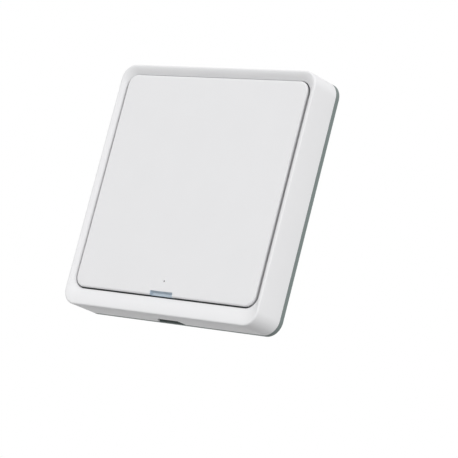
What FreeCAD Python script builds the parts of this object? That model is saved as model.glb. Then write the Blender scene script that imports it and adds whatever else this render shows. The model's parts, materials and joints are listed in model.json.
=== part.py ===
import FreeCAD, Part
import math
import os
import Sketcher

# Wireless wall switch: a wall plate, a clip-on front with one wide rocking key, and the
# battery-powered sender behind the key.
# Frame: X to the right, Y into the wall, Z up. The back of the wall plate is Y = 0 and the
# front faces -Y, so a height h above the wall is Y = -h. Lengths in mm.

SIZES = (
    ("plateSide", 80.0, "side of the square wall plate and of the cover"),
    ("plateCorner", 5.0, "corner radius of plate and cover"),
    ("plateThick", 1.6, "wall plate thickness"),
    ("coverGap", 0.1, "gap between the wall plate and the cover's rear edge"),
    ("skirtWall", 1.8, "wall of the cover's skirt"),
    ("rimRound", 0.5, "rounding of the cover's outer front edge"),
    ("rimLand", 0.6, "outer edge to the start of the dished bevel"),
    ("bevelDrop", 1.3, "how far the bevel falls to the opening"),
    ("borderSide", 2.2, "border beside the opening"),
    ("borderTop", 3.0, "border above the opening"),
    ("borderFoot", 5.65, "border below the opening"),
    ("openCorner", 4.4, "corner radius of the opening"),
    ("bandDeep", 3.1, "crest of the rim to the ledge behind the border"),
    ("footFlange", 1.0, "flange left at the opening where the foot is cored out"),
    ("footCore", 1.2, "depth of the coring behind the foot"),
    ("footPocket", 21.0, "width of one coring pocket"),
    ("footRib", 2.0, "rib between coring pockets"),
    ("pryRight", 4.2, "plate's centre to the pry notch's straight right end"),
    ("pryLeft", 4.3, "plate's centre to the pry notch's left end, at its front edge"),
    ("pryFlare", 2.7, "how far the pry notch's left end slopes out towards the wall"),
    ("pryDeep", 4.4, "pry notch height up the skirt"),
    ("lipGap", 0.2, "gap between the plate's lip and the skirt"),
    ("lipWall", 1.2, "lip thickness"),
    ("lipHeight", 3.0, "lip height above the plate"),
    ("lipBreak", 16.0, "break in the lip behind the pry notch"),
    ("hookSpread", 20.0, "centre of the plate to each top hook"),
    ("hookWide", 7.0, "hook width"),
    ("hookReach", 0.7, "how far a hook stands out of the lip"),
    ("hookThick", 1.0, "hook thickness"),
    ("hookPlay", 0.5, "play behind a hook, which lets the front swing"),
    ("hookKeeper", 0.4, "cover wall that a hook holds"),
    ("hookSide", 0.3, "play at the ends and top of a hook"),
    ("screwSpacing", 60.0, "spacing of the wall box's screws"),
    ("slotHalf", 1.8, "half the width of a screw slot"),
    ("slotLong", 7.0, "screw slot length"),
    ("headSink", 0.5, "depth of the seat for a screw head"),
    ("headRoom", 1.9, "seat edge to slot edge"),
    ("ribOffset", 20.0, "centre of the plate to each stiffening rib"),
    ("ribThick", 1.0, "stiffening rib width"),
    ("ribRise", 0.6, "stiffening rib height"),
    ("cellGap", 0.55, "wall plate to the battery strap"),
    ("strapThick", 0.2, "battery strap sheet"),
    ("strapWide", 5.0, "battery strap width"),
    ("strapFoot", 2.6, "battery strap's foot on the board"),
    ("cellThick", 3.2, "coin cell thickness"),
    ("cellRadius", 10.0, "coin cell radius"),
    ("cellUp", 6.0, "cell centre above the plate's centre"),
    ("cellInset", 1.4, "cell's edge to its inner cap"),
    ("cellStep", 0.4, "step round the cell's inner cap"),
    ("leafRoom", 0.35, "board to cell, taken by the leaf contact"),
    ("leafSheet", 0.15, "leaf contact sheet"),
    ("leafHalf", 7.5, "half the leaf contact's length"),
    ("leafFoot", 1.5, "length of a foot of the leaf contact"),
    ("leafCrown", 2.5, "half the crown that touches the cell"),
    ("leafWide", 4.0, "leaf contact width"),
    ("holderRise", 2.6, "height of the battery holder's wall"),
    ("holderWall", 1.3, "battery holder's wall"),
    ("holderPlay", 0.15, "gap round the cell"),
    ("boardThick", 1.0, "circuit board thickness"),
    ("boardWide", 38.0, "circuit board width"),
    ("boardTop", 25.0, "board's top edge above the centre"),
    ("boardSpare", 2.1, "signal lamp to the board's bottom edge"),
    ("carrierGap", 0.2, "gap between carrier and skirt"),
    ("carrierThick", 1.2, "carrier floor"),
    ("rimRise", 4.5, "carrier floor to the crest of the rim"),
    ("carrierRim", 0.7, "wall of the carrier's rim"),
    ("clipReach", 0.6, "how far a clip stands out of the skirt"),
    ("clipRun", 1.4, "length of a clip's ramp"),
    ("clipLong", 8.0, "clip length along the wall"),
    ("clipSpread", 18.0, "centre to each clip"),
    ("gapSide", 0.85, "gap between key and opening at either side"),
    ("gapTop", 0.2, "gap between key and opening above"),
    ("gapFoot", 0.4, "gap between key and opening below"),
    ("keyRecess", 0.6, "key face below the rim's crest"),
    ("keyShell", 1.8, "key face thickness"),
    ("keyWall", 1.3, "key side wall"),
    ("keyRound", 0.65, "rounding of the key's front edge"),
    ("keyTilt", 1.4, "degrees that the key tips each way"),
    ("stopGap", 0.1, "key edge to carrier floor when pressed"),
    ("keyRibThick", 0.8, "key rib width"),
    ("keyRibRise", 0.8, "key rib height"),
    ("keyRibSide", 12.0, "centre to each key rib"),
    ("keyRibNear", 4.0, "pivot to the near end of a key rib"),
    ("keyRibFar", 31.0, "pivot to the far end of a key rib"),
    ("pinRadius", 1.0, "pivot pin radius"),
    ("pinEnd", 4.8, "carrier's rim to the pin's end"),
    ("pinChamfer", 0.25, "chamfer on the pin's ends"),
    ("pinPlay", 0.04, "radial play of the pin"),
    ("pinDrop", 1.4, "key's inner face to the pin's axis"),
    ("mouthHalf", 0.85, "half the snap mouth of a bearing"),
    ("bossWide", 5.0, "key bearing width"),
    ("bossWall", 0.9, "key bearing wall round the pin"),
    ("bossRoom", 0.8, "room round a key bearing in the carrier"),
    ("towerInset", 1.5, "pin's end to the middle of the outer carrier bearing"),
    ("bearingPitch", 6.0, "from one bearing to the next along the pin"),
    ("towerWide", 3.0, "carrier bearing width"),
    ("towerHalf", 2.2, "half the carrier bearing's height along the key"),
    ("towerCap", 1.1, "pin axis to the bearing's top"),
    ("towerLip", 0.5, "lip left beside the bearing's mouth"),
    ("switchLever", 16.0, "pivot to each push switch"),
    ("switchSide", 6.0, "push switch side"),
    ("switchRise", 1.5, "push switch base height"),
    ("switchSheet", 0.2, "push switch cover sheet"),
    ("switchWell", 2.4, "radius of the well in the base"),
    ("switchFloor", 0.2, "floor of the well"),
    ("plungerRadius", 1.5, "plunger stem radius"),
    ("plungerPlay", 0.1, "radial play of the plunger"),
    ("plungerFlange", 2.15, "plunger flange radius"),
    ("plungerDisc", 0.4, "plunger flange thickness"),
    ("plungerOut", 0.6, "plunger standing out of its cover with the key level"),
    ("plungerTravel", 0.4, "plunger travel each way from where it is with the key level"),
    ("plungerSpare", 0.05, "gap left under the plunger when pressed"),
    ("legOut", 1.1, "push switch leg length"),
    ("legWide", 0.7, "push switch leg width"),
    ("legSheet", 0.2, "push switch leg sheet"),
    ("windowRoom", 0.6, "carrier window edge to switch"),
    ("postGap", 0.05, "key post to plunger at rest"),
    ("postRadius", 1.2, "key post radius"),
    ("glassWide", 9.3, "signal window width"),
    ("glassTall", 1.45, "signal window height"),
    ("glassRecess", 0.95, "signal window below the key face"),
    ("glassFit", 0.03, "gap round the signal window"),
    ("glassTail", 0.35, "signal window reaching behind the shell"),
    ("glassFlange", 1.6, "flange of the signal window under the shell"),
    ("pinholeRadius", 0.35, "pinhole in the key"),
    ("pinholeUp", 4.67, "key's lower edge to the pinhole"),
    ("lampUp", 2.75, "key's lower edge to the signal lamp"),
    ("lampWide", 3.4, "signal lamp width"),
    ("lampTall", 2.8, "signal lamp height"),
    ("lampRise", 1.2, "signal lamp body"),
    ("lampLens", 1.05, "signal lamp lens radius"),
    ("lampDome", 0.35, "signal lamp lens rise"),
    ("screwInset", 3.5, "board's side to each board screw"),
    ("screwUp", 9.0, "pivot to each board screw, up and down"),
    ("screwRadius", 1.0, "board screw shank radius"),
    ("screwLong", 3.0, "board screw shank length"),
    ("screwHead", 1.9, "board screw head radius"),
    ("screwCap", 1.1, "board screw head height"),
    ("screwPlay", 0.02, "pilot hole play"),
    ("screwClear", 0.1, "play round a screw in the board"),
    ("screwBoss", 4.2, "side of the square boss round a board screw"),
    ("screwCover", 0.4, "boss left past the screw's tip"),
    ("crossLong", 2.2, "board screw's cross recess, tip to tip"),
    ("crossWide", 0.5, "width of an arm of the recess"),
    ("crossDeep", 0.6, "depth of the recess"),
    ("chipLong", 8.7, "encoder chip length"),
    ("chipWide", 3.9, "encoder chip width"),
    ("chipRise", 1.4, "encoder chip height"),
    ("chipPitch", 1.27, "encoder chip leg pitch"),
    ("chipSpan", 5.85, "encoder chip width over its legs"),
    ("chipLeg", 0.42, "encoder chip leg width"),
    ("chipLift", 0.14, "gap between board and chip case"),
    ("canLong", 10.6, "resonator can length"),
    ("canWide", 4.4, "resonator can width"),
    ("canRise", 2.6, "resonator can height"),
    ("canFlange", 0.4, "resonator can's base flange"),
    ("tinyWide", 2.9, "transistor case width"),
    ("tinyTall", 1.3, "transistor case height"),
    ("tinyRise", 0.95, "transistor case standing off the board"),
    ("tinyLead", 0.45, "transistor lead width"),
    ("tinyLift", 0.1, "gap between board and transistor case"),
    ("tinyReach", 1.04, "transistor lead length, and its place beside the case"),
    ("tinyUp", 9.3, "board's foot to the transistor"),
    ("smallWide", 1.25, "chip resistor or capacitor width"),
    ("smallLong", 2.0, "chip resistor or capacitor length"),
    ("smallRise", 0.5, "chip resistor or capacitor height"),
    ("partsDown", 15.0, "encoder chip and resonator below the centre"),
    ("partsSide", 8.6, "encoder chip and resonator beside the centre"),
    ("wireWide", 0.8, "width of the antenna's flat wire"),
    ("wireThick", 0.5, "thickness of the antenna's flat wire"),
    ("wireLift", 0.9, "board to antenna wire"),
    ("wireBend", 2.0, "antenna wire bend radius"),
    ("wireInset", 1.0, "board edge to the middle of the antenna wire"),
    ("wireFoot", 3.0, "board's bottom edge to the antenna wire's lower bend"),
    ("wireShort", 6.0, "how far the antenna wire is open at its foot"),
)

doc = FreeCAD.newDocument("WallSwitch")
sheet = doc.addObject("Spreadsheet::Sheet", "Sizes")
for row, (alias, number, note) in enumerate(SIZES, start=1):
    sheet.set(f"A{row}", note)
    sheet.set(f"B{row}", str(number))
    sheet.setAlias(f"B{row}", alias)
doc.recompute()

# Heights above the wall, each as an expression on the sheet.
plate_top = "Sizes.plateThick"
cover_rear = f"({plate_top} + Sizes.coverGap)"
lip_top = f"({plate_top} + Sizes.lipHeight)"
strap_rear = f"({plate_top} + Sizes.cellGap)"
cell_rear = f"({strap_rear} + Sizes.strapThick)"
cell_front = f"({cell_rear} + Sizes.cellThick)"
board_rear = f"({cell_front} + Sizes.leafRoom)"
board_front = f"({board_rear} + Sizes.boardThick)"
carrier_front = f"({board_front} + Sizes.carrierThick)"
crest_top = f"({carrier_front} + Sizes.rimRise)"
ledge = f"({crest_top} - Sizes.bandDeep)"
key_face = f"({crest_top} - Sizes.keyRecess)"
key_inner = f"({key_face} - Sizes.keyShell)"
pin_axis = f"({key_inner} - Sizes.pinDrop)"
plunger_top = f"({board_front} + Sizes.switchRise + Sizes.switchSheet + Sizes.plungerOut)"
post_tip = f"({plunger_top} + Sizes.postGap)"
hook_rear = f"({cover_rear} + Sizes.hookKeeper + Sizes.hookPlay)"

# Outlines seen from the front.
skirt_side = "(Sizes.plateSide - 2 * Sizes.skirtWall)"
skirt_corner = "(Sizes.plateCorner - Sizes.skirtWall)"
lip_side = f"({skirt_side} - 2 * Sizes.lipGap)"
lip_corner = f"({skirt_corner} - Sizes.lipGap)"
carrier_side = f"({skirt_side} - 2 * Sizes.carrierGap)"
carrier_corner = f"({skirt_corner} - Sizes.carrierGap)"
open_wide = "(Sizes.plateSide - 2 * Sizes.borderSide)"
open_tall = "(Sizes.plateSide - Sizes.borderTop - Sizes.borderFoot)"
open_up = "((Sizes.borderFoot - Sizes.borderTop) / 2)"
key_wide = f"({open_wide} - 2 * Sizes.gapSide)"
key_tall = f"({open_tall} - Sizes.gapTop - Sizes.gapFoot)"
key_up = f"({open_up} + (Sizes.gapFoot - Sizes.gapTop) / 2)"
key_corner = "(Sizes.openCorner - Sizes.gapSide)"
pin_half = f"({carrier_side} / 2 - Sizes.carrierRim - Sizes.pinEnd)"
tower_outer = f"({pin_half} - Sizes.towerInset)"
boss_spread = f"({tower_outer} - Sizes.bearingPitch)"
tower_inner = f"({boss_spread} - Sizes.bearingPitch)"
key_foot = f"({key_up} - {key_tall} / 2)"
lamp_up = f"({key_foot} + Sizes.lampUp)"
board_foot = f"({lamp_up} - Sizes.boardSpare)"
key_rear = f"({carrier_front} + {key_tall} / 2 * tan(Sizes.keyTilt * 1 deg) + Sizes.stopGap)"

# Where the chip resistors and capacitors sit on the board, right of and above its centre.
SMALL_PARTS = ((-15, -14), (-15, -18), (-3, -11), (-3, -15), (-3, -19),
               (13, -22.5), (13, -26), (3.2, -22.5), (-13, 19.5), (-9.5, 19.5))

SUBPARTS = []


def value(expression):
    """Number that an expression on the sheet gives now."""
    result = sheet.evalExpression(str(expression))
    return float(getattr(result, "Value", result))


def bind(thing, **expressions):
    """Bind properties of an object to expressions on the sheet."""
    for path, expression in expressions.items():
        thing.setExpression(path.replace("__", "."), str(expression))


def new_body(label):
    """Body of one sub-part. Its Label names its file."""
    body = doc.addObject("PartDesign::Body", label)
    body.Label = label
    SUBPARTS.append(body)
    return body


def origin_feature(body, role):
    """Origin plane or axis of a body, found by its role."""
    return next(item for item in body.Origin.OriginFeatures if item.Role == role)


def new_sketch(body, plane="XZ_Plane", lift="0", right="0", up="0", turn=0):
    """Sketch on an origin plane, lifted along the plane's normal and moved within it."""
    sketch = body.newObject("Sketcher::SketchObject", f"{body.Name}_sketch")
    sketch.AttachmentSupport = [(origin_feature(body, plane), "")]
    sketch.MapMode = "FlatFace"
    turned = FreeCAD.Rotation(FreeCAD.Vector(0, 0, 1), turn)
    place = FreeCAD.Vector(value(right), value(up), value(lift))
    sketch.AttachmentOffset = FreeCAD.Placement(place, turned)
    bind(sketch, AttachmentOffset__Base__x=right, AttachmentOffset__Base__y=up)
    bind(sketch, AttachmentOffset__Base__z=lift)
    return sketch


def rule(sketch, expression, kind, *places):
    """Add a dimension to a sketch and bind it to an expression."""
    index = sketch.addConstraint(Sketcher.Constraint(kind, *places, value(expression)))
    sketch.setExpression(f"Constraints[{index}]", str(expression))


def arc(sketch, x, y, radius, start, end):
    """Arc of a circle between two angles in degrees."""
    circle = Part.Circle(FreeCAD.Vector(x, y, 0), FreeCAD.Vector(0, 0, 1), radius)
    shape = Part.ArcOfCircle(circle, math.radians(start), math.radians(end))
    return sketch.addGeometry(shape, False)


def line(sketch, x1, y1, x2, y2):
    """Straight edge between two points."""
    start = FreeCAD.Vector(x1, y1, 0)
    return sketch.addGeometry(Part.LineSegment(start, FreeCAD.Vector(x2, y2, 0)), False)


def draw_rounded(sketch, wide, tall, corner):
    """Rectangle with equal rounded corners, centred on the sketch's origin."""
    r = value(corner)
    a = value(wide) / 2
    b = value(tall) / 2
    foot = line(sketch, r - a, -b, a - r, -b)
    right = line(sketch, a, r - b, a, b - r)
    top = line(sketch, a - r, b, r - a, b)
    left = line(sketch, -a, b - r, -a, r - b)
    corners = [
        arc(sketch, a - r, r - b, r, 270, 360),
        arc(sketch, a - r, b - r, r, 0, 90),
        arc(sketch, r - a, b - r, r, 90, 180),
        arc(sketch, r - a, r - b, r, 180, 270),
    ]
    loop = [foot, corners[0], right, corners[1], top, corners[2], left, corners[3]]
    for first, second in zip(loop, loop[1:] + loop[:1]):
        sketch.addConstraint(Sketcher.Constraint("Tangent", first, 2, second, 1))
    for edge in (foot, top):
        sketch.addConstraint(Sketcher.Constraint("Horizontal", edge))
    for edge in (right, left):
        sketch.addConstraint(Sketcher.Constraint("Vertical", edge))
    for other in corners[1:]:
        sketch.addConstraint(Sketcher.Constraint("Equal", corners[0], other))
    sketch.addConstraint(Sketcher.Constraint("Symmetric", corners[0], 3, corners[2], 3, -1, 1))
    rule(sketch, corner, "Radius", corners[0])
    rule(sketch, f"{wide} - 2 * {corner}", "DistanceX", corners[3], 3, corners[0], 3)
    rule(sketch, f"{tall} - 2 * {corner}", "DistanceY", corners[0], 3, corners[1], 3)


def draw_slot(sketch, long, half):
    """Slot with round ends along the sketch's first axis, centred on its origin."""
    r = value(half)
    a = value(long) / 2 - r
    foot = line(sketch, -a, -r, a, -r)
    right = arc(sketch, a, 0, r, 270, 450)
    top = line(sketch, a, r, -a, r)
    left = arc(sketch, -a, 0, r, 90, 270)
    loop = [foot, right, top, left]
    for first, second in zip(loop, loop[1:] + loop[:1]):
        sketch.addConstraint(Sketcher.Constraint("Tangent", first, 2, second, 1))
    sketch.addConstraint(Sketcher.Constraint("Horizontal", foot))
    sketch.addConstraint(Sketcher.Constraint("Horizontal", top))
    sketch.addConstraint(Sketcher.Constraint("Symmetric", right, 3, left, 3, -1, 1))
    rule(sketch, half, "Radius", right)
    rule(sketch, f"{long} - 2 * {half}", "DistanceX", left, 3, right, 3)


def draw_outline(sketch, points):
    """Closed outline of straight edges. Each corner is a pair of expressions."""
    numbers = [(value(x), value(y)) for x, y in points]
    edges = []
    for (x1, y1), (x2, y2) in zip(numbers, numbers[1:] + numbers[:1]):
        edges.append(line(sketch, x1, y1, x2, y2))
    for first, second in zip(edges, edges[1:] + edges[:1]):
        sketch.addConstraint(Sketcher.Constraint("Coincident", first, 2, second, 1))
    for edge, (x, y) in zip(edges, points):
        rule(sketch, x, "DistanceX", -1, 1, edge, 1)
        rule(sketch, y, "DistanceY", -1, 1, edge, 1)


def draw_rectangle(sketch, wide, tall):
    """Rectangle with sharp corners, centred on the sketch's origin."""
    a = f"({wide}) / 2"
    b = f"({tall}) / 2"
    corners = [(f"-{a}", f"-{b}"), (a, f"-{b}"), (a, b), (f"-{a}", b)]
    draw_outline(sketch, corners)


def draw_circles(sketch, centres, radius):
    """Circles of one radius round the given centres."""
    for x, y in centres:
        middle = FreeCAD.Vector(value(x), value(y), 0)
        circle = Part.Circle(middle, FreeCAD.Vector(0, 0, 1), value(radius))
        index = sketch.addGeometry(circle, False)
        rule(sketch, x, "DistanceX", -1, 1, index, 3)
        rule(sketch, y, "DistanceY", -1, 1, index, 3)
        rule(sketch, radius, "Radius", index)


def pad(body, sketch, rise):
    """Add material from a sketch along its plane's normal."""
    feature = body.newObject("PartDesign::Pad", f"{body.Name}_pad")
    feature.Profile = sketch
    bind(feature, Length=rise)
    sketch.Visibility = False
    doc.recompute()
    return feature


def cut(body, sketch, deep, along_normal=False):
    """Cut a sketch into the body, against its plane's normal or along it."""
    before = body.Shape.Volume
    feature = body.newObject("PartDesign::Pocket", f"{body.Name}_cut")
    feature.Profile = sketch
    feature.Reversed = along_normal
    bind(feature, Length=deep)
    doc.recompute()
    if body.Shape.Volume > before - 1e-6:
        raise RuntimeError(f"{feature.Name} removes nothing")
    return feature


def repeat(body, features, kind, **settings):
    """Pattern or mirror of features, made the tip of the body."""
    before = body.Shape.Volume
    pattern = body.newObject(f"PartDesign::{kind}", f"{body.Name}_{kind.lower()}")
    pattern.Originals = features
    for name, setting in settings.items():
        setattr(pattern, name, setting)
    body.Tip = pattern
    doc.recompute()
    if abs(body.Shape.Volume - before) < 1e-6:
        raise RuntimeError(f"{pattern.Name} repeats nothing")
    return pattern


def mirror(body, features):
    """Mirror features from the right half to the left."""
    return repeat(body, features, "Mirrored", MirrorPlane=(origin_feature(body, "YZ_Plane"), [""]))


def turn_four(body, features):
    """Repeat features every quarter turn about the plate's centre."""
    axis = (origin_feature(body, "Y_Axis"), [""])
    return repeat(body, features, "PolarPattern", Axis=axis, Angle=360, Occurrences=4)


def round_edges(body, radius, height):
    """Fillet the edges that lie at one height above the wall."""
    level = -value(height)
    base = body.Tip
    names = []
    for index, edge in enumerate(body.Shape.Edges, start=1):
        box = edge.BoundBox
        if abs(box.YMin - level) < 1e-4 and abs(box.YMax - level) < 1e-4:
            names.append(f"Edge{index}")
    feature = body.newObject("PartDesign::Fillet", f"{body.Name}_fillet")
    feature.Base = (base, names)
    bind(feature, Radius=radius)
    doc.recompute()


def spin(body, points, x="0", z="0"):
    """Turned form about an axis along Y through x and z. Points are radius and height pairs."""
    sketch = new_sketch(body, "XY_Plane", lift=z, right=x)
    draw_outline(sketch, [(radius, f"-({height})") for radius, height in points])
    feature = body.newObject("PartDesign::Revolution", f"{body.Name}_turned")
    feature.Profile = sketch
    feature.ReferenceAxis = (sketch, ["V_Axis"])
    feature.Angle = 360
    doc.recompute()
    return feature


def block(name, x, z, height, wide, tall, rise):
    """Block centred on x and z, standing on a height above the wall."""
    box = doc.addObject("Part::Box", name)
    bind(box, Length=wide, Width=rise, Height=tall)
    bind(box, Placement__Base__x=f"{x} - ({wide}) / 2", Placement__Base__z=f"{z} - ({tall}) / 2")
    bind(box, Placement__Base__y=f"-({height}) - ({rise})")
    return box


def rod(name, x, z, height, radius, rise):
    """Cylinder standing on a height above the wall."""
    cylinder = doc.addObject("Part::Cylinder", name)
    cylinder.Placement.Rotation = FreeCAD.Rotation(FreeCAD.Vector(1, 0, 0), 90)
    bind(cylinder, Radius=radius, Height=rise)
    bind(cylinder, Placement__Base__x=x, Placement__Base__y=f"-({height})", Placement__Base__z=z)
    return cylinder


def join(label, pieces, keep=True):
    """Fuse pieces into one solid."""
    fused = doc.addObject("Part::MultiFuse", label)
    fused.Shapes = pieces
    if keep:
        fused.Label = label
        SUBPARTS.append(fused)
    return fused


def group(label, pieces):
    """Keep like pieces as separate solids of one node."""
    compound = doc.addObject("Part::Compound", label)
    compound.Links = pieces
    compound.Label = label
    SUBPARTS.append(compound)
    return compound


def make_wall_plate():
    """Flat plate with a lip that the front slips over, four screw slots and two top hooks."""
    body = new_body("wall_plate")
    base = new_sketch(body)
    draw_rounded(base, "Sizes.plateSide", "Sizes.plateSide", "Sizes.plateCorner")
    pad(body, base, plate_top)
    lip = new_sketch(body, lift=plate_top)
    draw_rounded(lip, lip_side, lip_side, lip_corner)
    inner_side = f"({lip_side} - 2 * Sizes.lipWall)"
    draw_rounded(lip, inner_side, inner_side, f"({lip_corner} - Sizes.lipWall)")
    pad(body, lip, "Sizes.lipHeight")
    gap = new_sketch(body, lift=lip_top, up=f"-({lip_side} - Sizes.lipWall) / 2")
    draw_rectangle(gap, "Sizes.lipBreak", "2 * Sizes.lipWall")
    cut(body, gap, "Sizes.lipHeight")
    hook = new_sketch(body, lift=hook_rear, right="Sizes.hookSpread", up=f"{lip_side} / 2")
    draw_rectangle(hook, "Sizes.hookWide", "2 * Sizes.hookReach")
    mirror(body, [pad(body, hook, "Sizes.hookThick")])
    rib = new_sketch(body, lift=plate_top, up="Sizes.ribOffset")
    draw_rectangle(rib, f"{inner_side} + Sizes.lipWall", "Sizes.ribThick")
    turn_four(body, [pad(body, rib, "Sizes.ribRise")])
    seat = new_sketch(body, lift=f"{plate_top} + Sizes.ribRise", right="Sizes.screwSpacing / 2")
    draw_rectangle(seat, "Sizes.slotLong + 2 * Sizes.headRoom", "2 * (Sizes.slotHalf + Sizes.headRoom)")
    seat_cut = cut(body, seat, "Sizes.headSink + Sizes.ribRise")
    slot = new_sketch(body, lift=plate_top, right="Sizes.screwSpacing / 2")
    draw_slot(slot, "Sizes.slotLong", "Sizes.slotHalf")
    slot_cut = cut(body, slot, plate_top)
    turn_four(body, [seat_cut, slot_cut])


def make_front_frame():
    """Moulded surround: skirt, dished border that is wider at the foot, and clips inside."""
    body = new_body("front_frame")
    outer = new_sketch(body, lift=cover_rear)
    draw_rounded(outer, "Sizes.plateSide", "Sizes.plateSide", "Sizes.plateCorner")
    pad(body, outer, f"{crest_top} - {cover_rear}")
    round_edges(body, "Sizes.rimRound", crest_top)
    inside = new_sketch(body, lift=cover_rear)
    draw_rounded(inside, skirt_side, skirt_side, skirt_corner)
    cut(body, inside, f"{ledge} - {cover_rear}", along_normal=True)
    opening = new_sketch(body, lift=crest_top, up=open_up)
    draw_rounded(opening, open_wide, open_tall, "Sizes.openCorner")
    cut(body, opening, "Sizes.bandDeep")
    crest = new_sketch(body, lift=crest_top)
    crest_side = "(Sizes.plateSide - 2 * Sizes.rimLand)"
    draw_rounded(crest, crest_side, crest_side, "(Sizes.plateCorner - Sizes.rimLand)")
    valley = new_sketch(body, lift=f"{crest_top} - Sizes.bevelDrop", up=open_up)
    draw_rounded(valley, open_wide, open_tall, "Sizes.openCorner")
    before = body.Shape.Volume
    dish = body.newObject("PartDesign::SubtractiveLoft", "front_frame_dish")
    dish.Profile = crest
    dish.Sections = [(valley, [""])]
    dish.Ruled = True
    doc.recompute()
    if body.Shape.Volume > before - 1e-6:
        raise RuntimeError("the dished border removes nothing")
    core_tall = "(Sizes.borderFoot - Sizes.skirtWall - Sizes.footFlange)"
    core_up = f"(-{skirt_side} / 2 + {core_tall} / 2)"
    pitch = "(Sizes.footPocket + Sizes.footRib)"
    for step in (-1, 0, 1):
        core = new_sketch(body, lift=ledge, right=f"{step} * {pitch}", up=core_up)
        draw_rectangle(core, "Sizes.footPocket", core_tall)
        cut(body, core, "Sizes.footCore", along_normal=True)
    notch = new_sketch(body, "XY_Plane", lift="-Sizes.plateSide / 2")
    notch_front = f"-({cover_rear} + Sizes.pryDeep)"
    draw_outline(notch, [
        ("-Sizes.pryLeft - Sizes.pryFlare", f"-({cover_rear})"),
        ("-Sizes.pryLeft", notch_front),
        ("Sizes.pryRight", notch_front),
        ("Sizes.pryRight", f"-({cover_rear})"),
    ])
    cut(body, notch, "Sizes.skirtWall", along_normal=True)
    keeper = f"({cover_rear} + Sizes.hookKeeper)"
    pocket_tall = "(Sizes.lipGap + 2 * Sizes.hookReach)"
    pocket_up = f"({lip_side} / 2 + Sizes.hookReach + Sizes.hookSide - {pocket_tall} / 2)"
    pocket = new_sketch(body, lift=keeper, right="Sizes.hookSpread", up=pocket_up)
    draw_rectangle(pocket, "Sizes.hookWide + 2 * Sizes.hookSide", pocket_tall)
    pocket_deep = "Sizes.hookPlay + Sizes.hookThick + Sizes.hookPlay"
    mirror(body, [cut(body, pocket, pocket_deep, along_normal=True)])
    clips = []
    wall = f"({skirt_side} / 2)"
    for side in (-1, 1):
        start = f"({side} * Sizes.clipSpread - Sizes.clipLong / 2)"
        clip = new_sketch(body, "XY_Plane", lift=start)
        draw_outline(clip, [
            (f"{wall} + Sizes.clipReach / 2", f"-({board_front})"),
            (f"{wall} - Sizes.clipReach", f"-({board_front})"),
            (wall, f"-({board_front} - Sizes.clipRun)"),
            (f"{wall} + Sizes.clipReach / 2", f"-({board_front} - Sizes.clipRun)"),
        ])
        clips.append(pad(body, clip, "Sizes.clipLong"))
    mirror(body, clips)


def make_carrier():
    """Inner tray: holds the board behind and the key's pivot in front."""
    body = new_body("carrier")
    floor = new_sketch(body, lift=board_front)
    draw_rounded(floor, carrier_side, carrier_side, carrier_corner)
    pad(body, floor, "Sizes.carrierThick")
    rim = new_sketch(body, lift=carrier_front)
    draw_rounded(rim, carrier_side, carrier_side, carrier_corner)
    inner = f"({carrier_side} - 2 * Sizes.carrierRim)"
    draw_rounded(rim, inner, inner, f"({carrier_corner} - Sizes.carrierRim)")
    pad(body, rim, f"{ledge} - {carrier_front}")
    boss_top = f"({board_rear} + Sizes.screwLong + Sizes.screwCover)"
    for x, z in screw_places():
        boss = new_sketch(body, lift=carrier_front, right=x, up=f"{key_up} + {z}")
        draw_rectangle(boss, "Sizes.screwBoss", "Sizes.screwBoss")
        pad(body, boss, f"{boss_top} - {carrier_front}")
    pilots = new_sketch(body, lift=board_front, up=key_up)
    draw_circles(pilots, screw_places(), "(Sizes.screwRadius + Sizes.screwPlay)")
    cut(body, pilots, f"{board_rear} + Sizes.screwLong - {board_front}", along_normal=True)
    towers = []
    for place in (tower_inner, tower_outer):
        tower = new_sketch(body, "YZ_Plane", lift=f"({place} - Sizes.towerWide / 2)")
        reach = f"-({pin_axis} + Sizes.towerCap)"
        draw_outline(tower, [
            (f"-({carrier_front} - Sizes.carrierThick / 2)", f"{key_up} - Sizes.towerHalf"),
            (f"-({carrier_front} - Sizes.carrierThick / 2)", f"{key_up} + Sizes.towerHalf"),
            (f"-({pin_axis})", f"{key_up} + Sizes.towerHalf"),
            (reach, f"{key_up} + Sizes.mouthHalf + Sizes.towerLip"),
            (reach, f"{key_up} - Sizes.mouthHalf - Sizes.towerLip"),
            (f"-({pin_axis})", f"{key_up} - Sizes.towerHalf"),
        ])
        towers.append(pad(body, tower, "Sizes.towerWide"))
    mirror(body, towers)
    span = f"({carrier_side} / 2 - Sizes.carrierRim - Sizes.keyWall)"
    bore = new_sketch(body, "YZ_Plane", lift=f"-{span}")
    draw_circles(bore, [(f"-({pin_axis})", key_up)], "(Sizes.pinRadius + Sizes.pinPlay)")
    cut(body, bore, f"2 * {span}", along_normal=True)
    mouth = new_sketch(body, "YZ_Plane", lift=f"-{span}", right=f"-({pin_axis})", up=key_up)
    draw_outline(mouth, [
        ("0", "-Sizes.mouthHalf"),
        ("0", "Sizes.mouthHalf"),
        ("-2 * Sizes.towerCap", "Sizes.mouthHalf"),
        ("-2 * Sizes.towerCap", "-Sizes.mouthHalf"),
    ])
    cut(body, mouth, f"2 * {span}", along_normal=True)
    window(body, "0", key_up, f"2 * ({tower_inner} - Sizes.towerWide)", boss_room())
    for side in (-1, 1):
        place = f"{side} * {boss_spread}"
        window(body, place, key_up, "Sizes.bossWide + 2 * Sizes.bossRoom", boss_room())
        lever = f"{key_up} + {side} * Sizes.switchLever"
        wide = "Sizes.switchSide + 2 * Sizes.legOut + 2 * Sizes.windowRoom"
        window(body, "0", lever, wide, "Sizes.switchSide + 2 * Sizes.windowRoom")
    room = "2 * Sizes.windowRoom"
    window(body, "0", lamp_up, f"Sizes.lampWide + {room}", f"Sizes.lampTall + {room}")


def boss_room():
    """Height of the carrier window round a key bearing."""
    return "2 * (Sizes.pinRadius + Sizes.pinPlay + Sizes.bossWall + Sizes.bossRoom)"


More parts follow.
